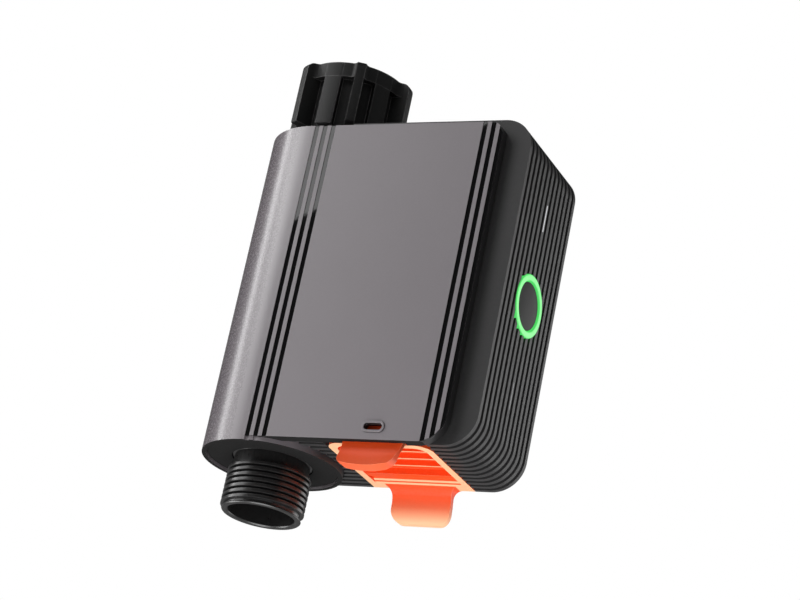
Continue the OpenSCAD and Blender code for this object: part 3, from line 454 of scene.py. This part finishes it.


# its wall colour is painted shade on the plate's side walls and the column's foot on the right
shellGrey = plastic("shellGrey", {
    "dark": (0.137, 0.121, 0.132), "light": (0.161, 0.143, 0.156), "edge": (0.28, 0.256, 0.274),
    "grain": 2600, "depth": 0.01, "strength": 0.05, "rough": (0.45, 0.49), "wearAndSheen": 0.3, "speck": 0.06,
    "spec": 0.7, "polish": 0.2, "polishX": (6, -4), "wallFrom": 22.6, "footTo": 2.3, "footX": (4, 12),
    "footShadeShare": 0.9, "soft": 0.3, "sideways": (-0.75, -0.35), "wall": (0.014, 0.0135, 0.014)}, shellPaintedShade)
ribBlack = plastic("ribBlack", {
    "dark": (0.026, 0.0255, 0.026), "light": (0.032, 0.0314, 0.032), "edge": (0.1, 0.098, 0.099),
    "grain": 2600, "depth": 0.02, "strength": 0.35, "rough": (0.38, 0.5), "wearAndSheen": 0.3, "speck": 0.08,
    "spec": 0.3})
trimGloss = plastic("trimGloss", {
    "dark": (0.003, 0.003, 0.0031), "light": (0.004, 0.004, 0.0041), "edge": (0.02, 0.02, 0.02),
    "grain": 900, "depth": 0.003, "strength": 0.2, "rough": (0.015, 0.03), "wearAndSheen": 0.1, "speck": 0.02,
    "spec": 0.4, "reach": 0.2})
# painted highlight: the pale edge colour with strong edge wear makes the wing edges bright, as if lit
nutBlack = plastic("nutBlack", {
    "dark": (0.009, 0.009, 0.009), "light": (0.012, 0.012, 0.012), "edge": (0.22, 0.217, 0.217),
    "grain": 2200, "depth": 0.03, "strength": 0.2, "rough": (0.46, 0.56), "wearAndSheen": 0.8, "speck": 0.02,
    "spec": 0.22, "reach": 0.6})
pipeBlack = plastic("pipeBlack", {
    "dark": (0.006, 0.0057, 0.0057), "light": (0.009, 0.0086, 0.0086), "edge": (0.1, 0.098, 0.098),
    "grain": 2200, "depth": 0.01, "strength": 0.1, "rough": (0.27, 0.33), "wearAndSheen": 0.4, "speck": 0.05,
    "spec": 0.65})
baseBlack = plastic("baseBlack", {
    "dark": (0.012, 0.0117, 0.0118), "light": (0.016, 0.0157, 0.0158), "edge": (0.06, 0.059, 0.059),
    "grain": 2400, "depth": 0.02, "strength": 0.35, "rough": (0.6, 0.75), "wearAndSheen": 0.3, "speck": 0.06,
    "spec": 0.05})
# painted highlight: the cream edge colour with strong edge wear paints the cap's edges and rib lines pale, as
# if lit
capLook = {
    "dark": (0.84, 0.062, 0.004), "light": (0.88, 0.073, 0.006), "edge": (0.95, 0.55, 0.31),
    "grain": 2200, "depth": 0.015, "strength": 0.3, "rough": (0.34, 0.46), "wearAndSheen": 0.8, "speck": 0.03,
    "spec": 0.25, "reach": 0.25, "rims": ((1.7, 1.95), (2.3, 2.5)), "soft": 0.1, "down": (-0.5, -0.9),
    "rimSheenShare": 0.92, "fade": (-0.5, -8.8), "fadePower": 1.6, "tabSheenShare": 0.95}
capOrange = plastic("capOrange", capLook, paintedRimSheen)
# painted highlight: the latch's pale edge lines, and a little of the cap's painted paler tab end
latchOrange = plastic("latchOrange", {**capLook, "tabSheenShare": 0.15, "wearAndSheen": 0.7}, paintedRimSheen)
buttonGrey = plastic("buttonGrey", {
    "dark": (0.018, 0.0178, 0.0172), "light": (0.024, 0.0237, 0.023), "edge": (0.09, 0.088, 0.087),
    "grain": 2600, "depth": 0.02, "strength": 0.35, "rough": (0.48, 0.58), "wearAndSheen": 0.3, "speck": 0.1,
    "spec": 0.2})
innerBlack = plastic("innerBlack", {
    "dark": (0.02, 0.02, 0.021), "light": (0.032, 0.032, 0.033), "edge": (0.1, 0.1, 0.1),
    "grain": 1600, "depth": 0.03, "strength": 0.4, "rough": (0.42, 0.6), "wearAndSheen": 0.25})
innerGrey = plastic("innerGrey", {
    "dark": (0.1, 0.1, 0.105), "light": (0.14, 0.14, 0.145), "edge": (0.3, 0.3, 0.3),
    "grain": 1600, "depth": 0.03, "strength": 0.4, "rough": (0.42, 0.6), "wearAndSheen": 0.3})
gearWhite = plastic("gearWhite", {
    "dark": (0.7, 0.68, 0.6), "light": (0.78, 0.77, 0.7), "edge": (0.85, 0.84, 0.8),
    "grain": 1800, "depth": 0.01, "strength": 0.3, "rough": (0.28, 0.42), "wearAndSheen": 0.3, "speck": 0.08})
sealRubber = plastic("sealRubber", {
    "dark": (0.012, 0.012, 0.012), "light": (0.022, 0.022, 0.022), "edge": (0.05, 0.05, 0.05),
    "grain": 3000, "depth": 0.03, "strength": 0.5, "rough": (0.65, 0.85), "wearAndSheen": 0.1})
steel = metal("steel", {
    "light": (0.62, 0.62, 0.63), "dark": (0.42, 0.42, 0.43), "edge": (0.8, 0.8, 0.8),
    "lines": (900, 900, 90), "rough": (0.22, 0.38), "depth": 0.004})
chrome = metal("chromedBrass", {
    "light": (0.75, 0.75, 0.76), "dark": (0.62, 0.62, 0.64), "edge": (0.85, 0.85, 0.85),
    "lines": (90, 90, 1200), "rough": (0.08, 0.16), "depth": 0.002})
brass = metal("brass", {
    "light": (0.72, 0.52, 0.22), "dark": (0.5, 0.33, 0.12), "edge": (0.85, 0.68, 0.35),
    "lines": (90, 90, 1400), "rough": (0.2, 0.36), "depth": 0.004})
tinned = metal("tinnedShield", {
    "light": (0.66, 0.66, 0.66), "dark": (0.5, 0.5, 0.5), "edge": (0.78, 0.78, 0.78),
    "lines": (200, 1600, 200), "rough": (0.3, 0.46), "depth": 0.003})
golden = metal("goldContact", {
    "light": (0.82, 0.62, 0.3), "dark": (0.6, 0.42, 0.18), "edge": (0.9, 0.75, 0.45),
    "lines": (700, 700, 700), "rough": (0.22, 0.4), "depth": 0.003})
print("plain materials ready")


# green lacquer over copper tracks
def boardGreen(look):
    mat, tree, shader = newMaterial("boardGreen")
    tracks = tree.nodes.new("ShaderNodeTexBrick")
    tracks.inputs["Scale"].default_value = look["tracks"]
    tracks.inputs["Mortar Size"].default_value = look["gap"]
    turn = tree.nodes.new("ShaderNodeMapping")
    turn.inputs["Rotation"].default_value = (0, math.radians(look["turn"]), 0)
    tree.links.new(objectPlace(tree), turn.inputs["Vector"])
    tree.links.new(turn.outputs[0], tracks.inputs["Vector"])
    grain = useGroup(tree, grainGroup, Scale=look["grain"], Drift_Scale=look["drift"])
    lacquer = mixColour(tree, grain["Drift"], look["dark"], look["light"])
    shows = mapValue(tree, tracks.outputs["Fac"], (0, 1), (0, look["share"]))
    tree.links.new(mixColour(tree, shows, lacquer, look["copper"]), shader.inputs["Base Color"])
    tree.links.new(mapValue(tree, grain["Speck"], noiseSpan, look["rough"]), shader.inputs["Roughness"])
    bumpTo(tree, shader, tracks.outputs["Fac"], look["depth"])
    return mat


# black film with a copper band above and bare metal at both ends
def cellWrap(look):
    mat, tree, shader = newMaterial("cellWrap")
    height = placeAndTurn(tree)[0]["Z"]
    band = mapValue(tree, height, metres(look["band"]))
    ends = mathNode(tree, "MAXIMUM", mapValue(tree, height, metres(look["lowEnd"])),
                    mapValue(tree, height, metres(look["highEnd"])))
    grain = useGroup(tree, grainGroup, Scale=look["grain"], Drift_Scale=look["drift"])
    film = mixColour(tree, grain["Drift"], look["dark"], look["light"])
    wrap = mixColour(tree, band, film, look["copper"])
    tree.links.new(mixColour(tree, ends, wrap, look["bare"]), shader.inputs["Base Color"])
    shine = mathNode(tree, "MAXIMUM", ends, mathNode(tree, "MULTIPLY", band, look["bandShine"]))
    tree.links.new(shine, shader.inputs["Metallic"])
    tree.links.new(mapValue(tree, grain["Speck"], noiseSpan, look["rough"]), shader.inputs["Roughness"])
    bumpTo(tree, shader, grain["Height"], look["depth"], look["strength"])
    return mat


# what both light guides share
def guideLight(tree, shader, look, grain, colour):
    tree.links.new(colour, shader.inputs["Emission Color"])
    shader.inputs["Emission Strength"].default_value = look["power"]
    tree.links.new(mixColour(tree, grain["Drift"], *look["plain"]), shader.inputs["Base Color"])
    tree.links.new(mapValue(tree, grain["Speck"], noiseSpan, look["rough"]), shader.inputs["Roughness"])


# the ring glows from inside, brightest along the middle of its width
def ringGlow(look):
    mat, tree, shader = newMaterial("ringGlow")
    shift = tree.nodes.new("ShaderNodeMapping")
    shift.inputs["Location"].default_value = (0, -look["y"] * mm, -look["z"] * mm)
    shift.inputs["Scale"].default_value = (0, 1, 1)
    tree.links.new(objectPlace(tree), shift.inputs["Vector"])
    far = tree.nodes.new("ShaderNodeVectorMath")
    far.operation = "LENGTH"
    tree.links.new(shift.outputs[0], far.inputs[0])
    away = mathNode(tree, "ABSOLUTE", mathNode(tree, "SUBTRACT", far.outputs["Value"], look["r"] * mm))
    core = mapValue(tree, away, metres(look["wide"]))
    grain = useGroup(tree, grainGroup, Scale=look["grain"], Drift_Scale=look["drift"])
    patchy = mathNode(tree, "MULTIPLY", core, mapValue(tree, grain["Drift"], noiseSpan, look["patches"]))
    guideLight(tree, shader, look, grain, mixColour(tree, patchy, look["rim"], look["core"]))
    return mat


# the upper bar is lit, the lower one nearly dark
def barGlow(look):
    mat, tree, shader = newMaterial("barGlow")
    upper = mapValue(tree, placeAndTurn(tree)[0]["Z"], metres(look["between"]))
    grain = useGroup(tree, grainGroup, Scale=look["grain"], Drift_Scale=look["drift"])
    lit = mixColour(tree, upper, look["low"], look["high"])
    patches = mapValue(tree, grain["Drift"], noiseSpan, look["patches"])
    guideLight(tree, shader, look, grain, mixColour(tree, patches, lit, look["low"]))
    return mat


pcb = boardGreen({
    "dark": (0.012, 0.075, 0.03), "light": (0.02, 0.1, 0.04), "copper": (0.05, 0.2, 0.08), "share": 0.6,
    "tracks": 260, "gap": 0.06, "turn": 90, "grain": 1800, "drift": 60, "rough": (0.25, 0.4), "depth": 0.03})
cellMat = cellWrap({
    "dark": (0.012, 0.012, 0.013), "light": (0.02, 0.02, 0.021), "copper": (0.55, 0.3, 0.12),
    "bare": (0.6, 0.6, 0.58), "band": (46, 46.1), "lowEnd": (9.3, 9.2), "highEnd": (58.1, 58.2),
    "bandShine": 0.7, "grain": 900, "drift": 45, "rough": (0.2, 0.36), "depth": 0.01, "strength": 0.3})
ringMat = ringGlow({
    "y": 1.1, "z": 56, "r": 8.95, "wide": (1.1, 0.2), "rim": (0.06, 0.62, 0.11), "core": (0.15, 0.86, 0.19),
    "plain": ((0.03, 0.12, 0.04), (0.05, 0.16, 0.06)), "power": 1.0, "patches": (0.75, 1),
    "grain": 700, "drift": 120, "rough": (0.25, 0.4)})
barMat = barGlow({
    "between": (50, 60), "low": (0.04, 0.04, 0.042), "high": (0.5, 0.5, 0.52),
    "plain": ((0.12, 0.12, 0.12), (0.16, 0.16, 0.16)), "power": 1.0, "patches": (0, 0.25),
    "grain": 700, "drift": 200, "rough": (0.25, 0.4)})
print("special materials ready")


# front shell: column and plate
shellPlan = {"edge": 0.5, "face": -22.5, "top": 108.2, "groove": 0.2, "plateEnd": 67.9, "rightFrom": 60,
             "near": 0.02, "down": -0.97, "underTo": 2}
stripPlan = {"edge": 0.12, "segments": 2, "smooth": 15}
bezelPlan = {"edge": 0.25, "segments": 3, "smooth": 32}


def onFace(a, b):
    return max(a.y, b.y) < shellPlan["face"] + shellPlan["near"]


def shellRim(a, b):
    if onFace(a, b):
        return abs(a.x - b.x) > shellPlan["near"] or max(a.x, b.x) > shellPlan["plateEnd"]
    return max(a.z, b.z) < shellPlan["near"] or min(a.z, b.z) > shellPlan["top"] - shellPlan["near"]


def shellRight(a, b):
    return onFace(a, b) and min(a.x, b.x) > shellPlan["rightFrom"]


def shellGroove(a, b):
    return onFace(a, b) and abs(a.x - b.x) < shellPlan["near"]


def lowerRim(face):
    return face.normal.z < shellPlan["down"] and face.calc_center_median().z < shellPlan["underTo"] * mm


frontShell = copyNode("front_shell", "frontShell")
groove = shellPlan["groove"]
weightEdges(frontShell, [(groove, shellRight), (groove, shellGroove), (1, shellRim)])
roundEdges(frontShell, shellPlan["edge"], weighted=True)
finishPiece(frontShell, shellGrey, "case", "front_shell")
frontShell.data.materials.append(baseBlack)  # for the flat lower rims
solo(frontShell)
bpy.ops.object.mode_set(mode="EDIT")
pick(frontShell, "FACE", lowerRim)
frontShell.active_material_index = 1
bpy.ops.object.material_slot_assign()
bpy.ops.object.mode_set(mode="OBJECT")

softCopy("trim_strips", "trimInlays", trimGloss, "case", stripPlan)
softCopy("window_bezel", "windowFrame", shellGrey, "case", bezelPlan)
print("front shell done")

# ribbed housing: only the outer edges of the ribs are rounded
housingPlan = {"edge": 0.72, "right": 76.6, "low": 1.8, "high": 110.7, "corner": 10, "level": 0.01,
               "near": 0.03}
coverPlan = {"edge": 0.3, "segments": 2, "smooth": 32}


def offOutline(p):
    plan = housingPlan
    x = max(p.x - (plan["right"] - plan["corner"]), 0)
    z = max(p.z - (plan["high"] - plan["corner"]), plan["low"] + plan["corner"] - p.z, 0)
    if x > 0 and z > 0:
        return abs(math.hypot(x, z) - plan["corner"])
    return min(abs(p.x - plan["right"]), abs(p.z - plan["low"]), abs(p.z - plan["high"]))


def ribEdge(a, b):
    return abs(a.y - b.y) < housingPlan["level"] and max(offOutline(a), offOutline(b)) < housingPlan["near"]


housing = copyNode("rear_housing", "ribbedHousing")
weightEdges(housing, [(1, ribEdge)])
roundEdges(housing, housingPlan["edge"], weighted=True)
finishPiece(housing, ribBlack, "case", "rear_housing")
softCopy("back_cover", "backCover", ribBlack, "case", coverPlan)
print("housing done")

# button and light ring, turned about the button's axis
# rim and lip are steps in from the side and up from the face
buttonPlan = {"y": 1.1, "z": 56, "r": 7.6, "face": 76.4, "dome": 0.5, "domeIn": 0.5, "domeSteps": 8,
              "back": 70.8, "stem": 2, "stemEdge": 0.1, "flange": 1.4, "flangeTall": 1.5, "flangeEdge": 0.1,
              "pole": 0.02, "rim": ((0, -0.35), (0.05, -0.12), (0.2, 0.02)), "edge": 0.05}
ringPlan = {"in": 7.9, "out": 10, "wall": 9.3, "flange": 11.4, "back": 69.5, "flangeLow": 71,
            "flangeHigh": 72.5, "step": 72.6, "face": 76.9, "lip": ((0, -0.35), (0.1, -0.1), (0.35, 0)),
            "edge": 0.04}
barPlan = {"edge": 0.15, "segments": 2, "smooth": 32}
buttonAxis = (0, buttonPlan["y"], buttonPlan["z"])


def domeLine(plan):
    big = (plan["r"] ** 2 + plan["dome"] ** 2) / 2 / plan["dome"]
    centre = plan["face"] + plan["dome"] - big
    steps = plan["domeSteps"]
    rings = [(plan["r"] - plan["domeIn"]) * (1 - k / steps) for k in range(steps)]
    return [(r, centre + math.sqrt(big ** 2 - r ** 2)) for r in rings]


plan = buttonPlan
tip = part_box("button_cap")[0][0] / mm  # the stem ends short of the switch
flangeTop = plan["back"] + plan["flangeTall"]
buttonOutline = [(plan["pole"], tip), (plan["stem"] - plan["stemEdge"], tip),
                 (plan["stem"], tip + plan["stemEdge"]), (plan["stem"], plan["back"]),
                 (plan["r"] + plan["flange"], plan["back"]),
                 (plan["r"] + plan["flange"], flangeTop), (plan["r"], flangeTop + plan["flangeEdge"])]
buttonOutline += [(plan["r"] - inward, plan["face"] + rise) for inward, rise in plan["rim"]]
buttonOutline += domeLine(plan)
buttonOutline.append((plan["pole"], plan["face"] + plan["dome"]))
button = turned("pushButton", buttonOutline, buttonAxis, alongX=True)
roundEdges(button, plan["edge"], 1, angle=50, smooth=30)
finishPiece(button, buttonGrey, "button", "button_cap")

plan = ringPlan
ringOutline = [(plan["wall"], plan["back"]), (plan["out"], plan["back"]), (plan["out"], plan["flangeLow"]),
               (plan["flange"], plan["flangeLow"]), (plan["flange"], plan["flangeHigh"]),
               (plan["out"], plan["flangeHigh"])]
ringOutline += [(plan["out"] - inward, plan["face"] + rise) for inward, rise in plan["lip"]]
ringOutline += [(plan["in"] + inward, plan["face"] + rise) for inward, rise in reversed(plan["lip"])]
ringOutline += [(plan["in"], plan["step"]), (plan["wall"], plan["step"])]
ring = turned("lightRing", ringOutline, buttonAxis, alongX=True)
roundEdges(ring, plan["edge"], 1, angle=50, smooth=40)
finishPiece(ring, ringMat, "case", "light_ring")
softCopy("light_bars", "lightBars", barMat, "case", barPlan)
print("button and lights done")

# outlet: a turned pipe with a screwed thread on it
# its parts are drawn as (radius, height), the mouth's heights counted from the end
outletPlan = {"bore": 10.6, "end": -16.9, "chamfer": 0.5, "mouth": ((12.3, 0), (12.7, 0.42), (12.06, 0.85)),
              "neck": ((12.06, -4.3), (12, -4.1), (12, 1.1)), "plug": ((12.7, 1.1), (12.7, 3.4)),
              "tube": ((13.5, 3.4), (13.5, 66)), "flange": ((17.5, 66), (17.5, 74)),
              "spigot": ((12.5, 74), (12.5, 78.8)), "way": ((7.5, 78.8), (7.5, 46), (9.7, 46), (9.7, 8)),
              "wayLow": 8, "edge": 0.12}
threadPlan = {"crest": 13.2, "root": 11.9, "pitch": 1.814, "start": -15.55, "turns": 7, "steps": 72,
              "crestHalf": 0.26, "rootHalf": 0.47, "edge": 0.12}
basePlan = {"edge": 0.3, "outside": 16}

plan = outletPlan
pipeOutline = [(plan["bore"], plan["end"] + plan["chamfer"]), (plan["bore"] + plan["chamfer"], plan["end"])]
pipeOutline += [(r, plan["end"] + rise) for r, rise in plan["mouth"]]
for part in ("neck", "plug", "tube", "flange", "spigot", "way"):
    pipeOutline += plan[part]
pipeOutline.append((plan["bore"], plan["wayLow"]))
outlet = turned("outletPipe", pipeOutline)
roundEdges(outlet, plan["edge"], 2, angle=28)

plan = threadPlan
deselect()
bpy.ops.mesh.primitive_plane_add(size=mm, location=(0, 0, 0), rotation=(math.radians(90), 0, 0))
thread = bpy.context.object
thread.name = "outletThread"
bpy.ops.object.transform_apply(location=True, rotation=True, scale=True)
bpy.ops.object.mode_set(mode="EDIT")
bpy.ops.mesh.select_all(action="SELECT")
bpy.ops.mesh.delete(type="ONLY_FACE")
bm = bmesh.from_edit_mesh(thread.data)
for vert in bm.verts:  # the profile stands at the back, where the thread's start is hidden
    part = "crest" if vert.co.x > 0 else "root"
    half = plan["pitch"] * plan[part + "Half"]
    vert.co = Vector((0, plan[part], plan["start"] + math.copysign(half, vert.co.z))) * mm
bmesh.update_edit_mesh(thread.data)
bpy.ops.object.mode_set(mode="OBJECT")
screw = thread.modifiers.new("thread turns", "SCREW")
screw.axis = "Z"
screw.angle = math.radians(360)
screw.screw_offset = plan["pitch"] * mm
screw.iterations = plan["turns"]
screw.steps = plan["steps"]
screw.render_steps = plan["steps"]
solo(thread)
bpy.ops.object.modifier_apply(modifier=screw.name)
bpy.ops.object.mode_set(mode="EDIT")
middle = (plan["start"] + plan["pitch"] * plan["turns"] / 2) * mm
for side in (-1, 1):  # close both ends of the thread
    pick(thread, "EDGE", lambda edge: edge.is_boundary and (edge.verts[0].co.z - middle) * side > 0)
    bpy.ops.mesh.edge_face_add()
bpy.ops.mesh.select_all(action="SELECT")
bpy.ops.mesh.normals_make_consistent(inside=False)
bpy.ops.object.mode_set(mode="OBJECT")
roundEdges(thread, plan["edge"], 2, angle=28)
joinTo(outlet, thread)
finishPiece(outlet, pipeBlack, "case", "outlet_body")

base = copyNode("base_ring", "baseRing")
weightEdges(base, [(1, beyond(basePlan["outside"]))])
roundEdges(base, basePlan["edge"], 2, weighted=True)
finishPiece(base, baseBlack, "case", "base_ring")
print("outlet done")

# winged nut, the pads between its wings flush with the collar
nutPlan = {"edge": 0.5, "wingsFrom": 17.5, "inner": 0.25, "padIn": 14.4, "padOut": 16.93, "padLow": 112.6,
           "padHigh": 134.6, "padMiddle": 31, "padHalf": 10.5, "padSteps": 8, "padEdge": 0.3, "pads": 6}
plan = nutPlan
nut = copyNode("inlet_nut", "wingNut")
weightEdges(nut, [(1, beyond(plan["wingsFrom"])), (plan["inner"], everyEdge)])
roundEdges(nut, plan["edge"], weighted=True)
padOutline = [(plan["padIn"], plan["padLow"]), (plan["padOut"], plan["padLow"]),
              (plan["padOut"], plan["padHigh"]), (plan["padIn"], plan["padHigh"])]
pads = turned("gripPads", padOutline, steps=plan["padSteps"], start=plan["padMiddle"] + plan["padHalf"],
              sweep=2 * plan["padHalf"])
solo(pads)
bpy.ops.object.mode_set(mode="EDIT")
bpy.ops.mesh.select_all(action="SELECT")
bpy.ops.mesh.spin(steps=plan["pads"] - 1, dupli=True, angle=math.radians(360 - 360 / plan["pads"]),
                  center=(0, 0, 0), axis=(0, 0, 1))
bpy.ops.object.mode_set(mode="OBJECT")
roundEdges(pads, plan["padEdge"], 2)
joinTo(nut, pads)
finishPiece(nut, nutBlack, "nut", "inlet_nut")
print("nut done")

# battery cap, its ribs with finer edges than the rest
capPlan = {"edge": 0.35, "rib": 0.3, "ribLow": 2.3, "ribHigh": 2.5}


def capRib(a, b):
    return capPlan["ribLow"] < min(a.z, b.z) and max(a.z, b.z) < capPlan["ribHigh"]


cap = copyNode("battery_cap", "batteryCap")
weightEdges(cap, [(capPlan["rib"], capRib), (1, everyEdge)])
roundEdges(cap, capPlan["edge"], weighted=True)
finishPiece(cap, capOrange, "cartridge", "battery_cap")

# latch: its lower edge curves up towards both ends, and its right end is swept in
latchPlan = {"edge": 0.16, "longFrom": 5, "level": 0.1, "cuts": 9, "curve": 0.17, "sweep": 1.8, "corner": 3.4,
             "below": -3.2, "reach": 6.5}


def longLow(edge):
    start, end = (vert.co / mm for vert in edge.verts)
    level = abs(end.z - start.z) < latchPlan["level"]
    return level and start.z < 0 and abs(end.x - start.x) > latchPlan["longFrom"]


def columnOf(vert):
    return round(vert.co.x / mm, 2)


def isLow(vert):
    return vert.co.z < -latchPlan["level"] * mm


def rightEnd(vert):
    return vert.co.x > right - latchPlan["corner"] * mm and vert.co.z < latchPlan["below"] * mm


tab = copyNode("latch", "latchTab")
left, right = (corner[0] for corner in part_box("latch"))
bpy.ops.object.mode_set(mode="EDIT")
pick(tab, "EDGE", longLow)
bpy.ops.mesh.subdivide(number_cuts=latchPlan["cuts"])
bm = bmesh.from_edit_mesh(tab.data)
columns = sorted({columnOf(vert) for vert in bm.verts if isLow(vert)})
for column in columns:
    pick(tab, "VERT", lambda vert: isLow(vert) and columnOf(vert) == column)
    share = (column * mm - (left + right) / 2) / ((right - left) / 2)
    bpy.ops.transform.resize(value=(1, 1, 1 - latchPlan["curve"] * share ** 2), center_override=(0, 0, 0))
pick(tab, "VERT", rightEnd)
bpy.ops.transform.translate(value=(-latchPlan["sweep"] * mm, 0, 0), use_proportional_edit=True,
                            proportional_edit_falloff="SMOOTH", proportional_size=latchPlan["reach"] * mm)
bpy.ops.object.mode_set(mode="OBJECT")
roundEdges(tab, latchPlan["edge"])
finishPiece(tab, latchOrange, "latch_arm", "latch")
print("cap and latch done")

# inner pieces keep their solids and get finishes
finishes = {
    "cover_gasket": sealRubber, "cover_screws": steel, "valve_body": innerGrey, "pipe_seal": sealRubber,
    "inlet_tail": gearWhite, "inlet_washer": sealRubber, "inlet_screen": steel, "ball": chrome,
    "seat_rings": gearWhite, "stem": brass, "stem_seals": sealRubber, "output_gear": gearWhite,
    "compound_gear": gearWhite, "gear_axle": steel, "motor_pinion": brass, "motor": steel,
    "gear_frame": innerGrey, "turbine": gearWhite, "turbine_axle": steel, "turbine_cages": innerGrey,
    "flow_sensor": pcb, "main_board": pcb, "board_screws": steel, "radio_module": tinned,
    "push_switch": innerBlack, "status_lights": gearWhite, "battery_tray": innerBlack, "battery_cells": cellMat,
    "contact_strips": golden, "bay_contacts": golden, "cap_seal": sealRubber, "latch_pin": steel}
for nodeName, finish in finishes.items():
    for holder in nodes[nodeName].material_slots:
        holder.material = finish
print("inner finishes set")

# studio: pale floor far below, white surround, soft boxes
studio = {"floorZ": -0.3, "floorSize": 14, "floorTone": (0.8, 0.8, 0.8), "floorGlow": 0.45, "ambient": 0.25,
          "room": 0.05, "screen": (-0.445, 0.816, 0.369), "screenEdge": (0.991, 0.999)}
white = (1, 1, 1, 1)
deselect()
bpy.ops.mesh.primitive_plane_add(size=studio["floorSize"], location=(0, 0, studio["floorZ"]))
floor = bpy.context.object
floor.name = "studioFloor"
floorMat = bpy.data.materials.new("floorPale")
floorMat.use_nodes = True
tree = floorMat.node_tree
tree.nodes.clear()
paint = tree.nodes.new("ShaderNodeBsdfDiffuse")
paint.inputs["Color"].default_value = (*studio["floorTone"], 1)
glow = tree.nodes.new("ShaderNodeEmission")
glow.inputs["Color"].default_value = white
glow.inputs["Strength"].default_value = studio["floorGlow"]
plus = tree.nodes.new("ShaderNodeAddShader")
tree.links.new(paint.outputs[0], plus.inputs[0])
tree.links.new(glow.outputs[0], plus.inputs[1])
rays = tree.nodes.new("ShaderNodeLightPath")
seen = tree.nodes.new("ShaderNodeMixShader")  # the glow is for the camera alone
tree.links.new(rays.outputs["Is Camera Ray"], seen.inputs[0])
tree.links.new(paint.outputs[0], seen.inputs[1])
tree.links.new(plus.outputs[0], seen.inputs[2])
clear = tree.nodes.new("ShaderNodeBsdfTransparent")
oneSided = tree.nodes.new("ShaderNodeMixShader")  # clear from below
tree.links.new(tree.nodes.new("ShaderNodeNewGeometry").outputs["Backfacing"], oneSided.inputs[0])
tree.links.new(seen.outputs[0], oneSided.inputs[1])
tree.links.new(clear.outputs[0], oneSided.inputs[2])
tree.links.new(oneSided.outputs[0], tree.nodes.new("ShaderNodeOutputMaterial").inputs[0])
floor.data.materials.append(floorMat)

world = bpy.data.worlds.new("whiteStudio")
bpy.context.scene.world = world
world.use_nodes = True
tree = world.node_tree
tree.nodes.clear()
rays = tree.nodes.new("ShaderNodeLightPath")
facing = tree.nodes.new("ShaderNodeVectorMath")
facing.operation = "DOT_PRODUCT"
facing.inputs[1].default_value = studio["screen"]
tree.links.new(tree.nodes.new("ShaderNodeTexCoord").outputs["Generated"], facing.inputs[0])
# mirrored rays see a white screen behind the object, and a dim room elsewhere
screen = mapValue(tree, facing.outputs["Value"], studio["screenEdge"], (studio["room"], 1))
mirrored = mathNode(tree, "MAXIMUM", rays.outputs["Is Glossy Ray"], rays.outputs["Is Transmission Ray"])
lit = mathNode(tree, "ADD", mathNode(tree, "MULTIPLY", mirrored, screen),
               mathNode(tree, "MULTIPLY", mathNode(tree, "SUBTRACT", 1, mirrored), studio["ambient"]))
air = tree.nodes.new("ShaderNodeBackground")
air.inputs["Color"].default_value = white
tree.links.new(mathNode(tree, "MAXIMUM", rays.outputs["Is Camera Ray"], lit), air.inputs["Strength"])
tree.links.new(air.outputs[0], tree.nodes.new("ShaderNodeOutputWorld").inputs[0])

# size is wide and tall in metres, roll in degrees; a sheen lamp shows in reflections and gives no other light
lamps = {
    "leftStrip": {"place": (-0.4, -0.13, 0.16), "aim": (0, 0, 0.05), "size": (0.07, 0.6), "power": 1.1,
                  "sheen": True},
    "leftFront": {"place": (-0.28, -0.24, 0.08), "aim": (0.02, 0, 0.05), "size": (0.2, 0.4), "power": 0.6},
    "leftBack": {"place": (-0.36, 0.2, 0.02), "aim": (0, 0, 0), "size": (0.3, 0.2), "power": 0.04},
    "leftLow": {"place": (-0.3, -0.12, -0.2), "aim": (0, 0, 0), "size": (0.2, 0.3), "power": 1.2,
                "sheen": True},
    "frontTop": {"place": (-0.296, -0.362, 0.374), "aim": (0, 0, 0.1), "size": (0.36, 0.26), "power": 1.05,
                 "roll": 43},
    "topFar": {"place": (0.14, -0.5, 0.62), "aim": (0.03, 0, 0.06), "size": (0.3, 0.3), "power": 0.5},
    "right": {"place": (0.55, 0, 0.1), "aim": (0.06, 0, 0.05), "size": (0.35, 0.6), "power": 0.26},
    "rightBack": {"place": (0.33, 0.52, 0.02), "aim": (0.06, 0, 0.05), "size": (0.4, 0.75), "power": 1.8},
    "under": {"place": (0.06, -0.12, -0.25), "aim": (0.06, 0, 0), "size": (0.22, 0.22), "power": 0.78}}
for name, plan in lamps.items():
    deselect()
    bpy.ops.object.light_add(type="AREA", location=plan["place"])
    lamp = bpy.context.object
    lamp.name = name
    lamp.data.shape = "RECTANGLE"
    lamp.data.size, lamp.data.size_y = plan["size"]
    lamp.data.energy = plan["power"]
    turn = (Vector(plan["aim"]) - Vector(plan["place"])).to_track_quat("-Z", "Y")
    roll = Quaternion((0, 0, 1), math.radians(plan.get("roll", 0)))
    lamp.rotation_euler = (turn @ roll).to_euler()
    lamp.visible_camera = False
    lamp.visible_diffuse = not plan.get("sheen", False)

# camera measured from the photograph
view = {"place": (0.397621, -0.669518, -0.245679), "turn": (112.094, -11.014, 24.1676), "lens": 117,
        "film": 36, "clip": (0.01, 50)}
deselect()
bpy.ops.object.camera_add(location=view["place"], rotation=[math.radians(a) for a in view["turn"]])
camera = bpy.context.object
camera.name = "photoCamera"
camera.data.lens = view["lens"]
camera.data.sensor_width = view["film"]
camera.data.clip_start, camera.data.clip_end = view["clip"]
bpy.context.scene.camera = camera
bpy.context.scene.view_settings.view_transform = "Standard"
print("studio ready")
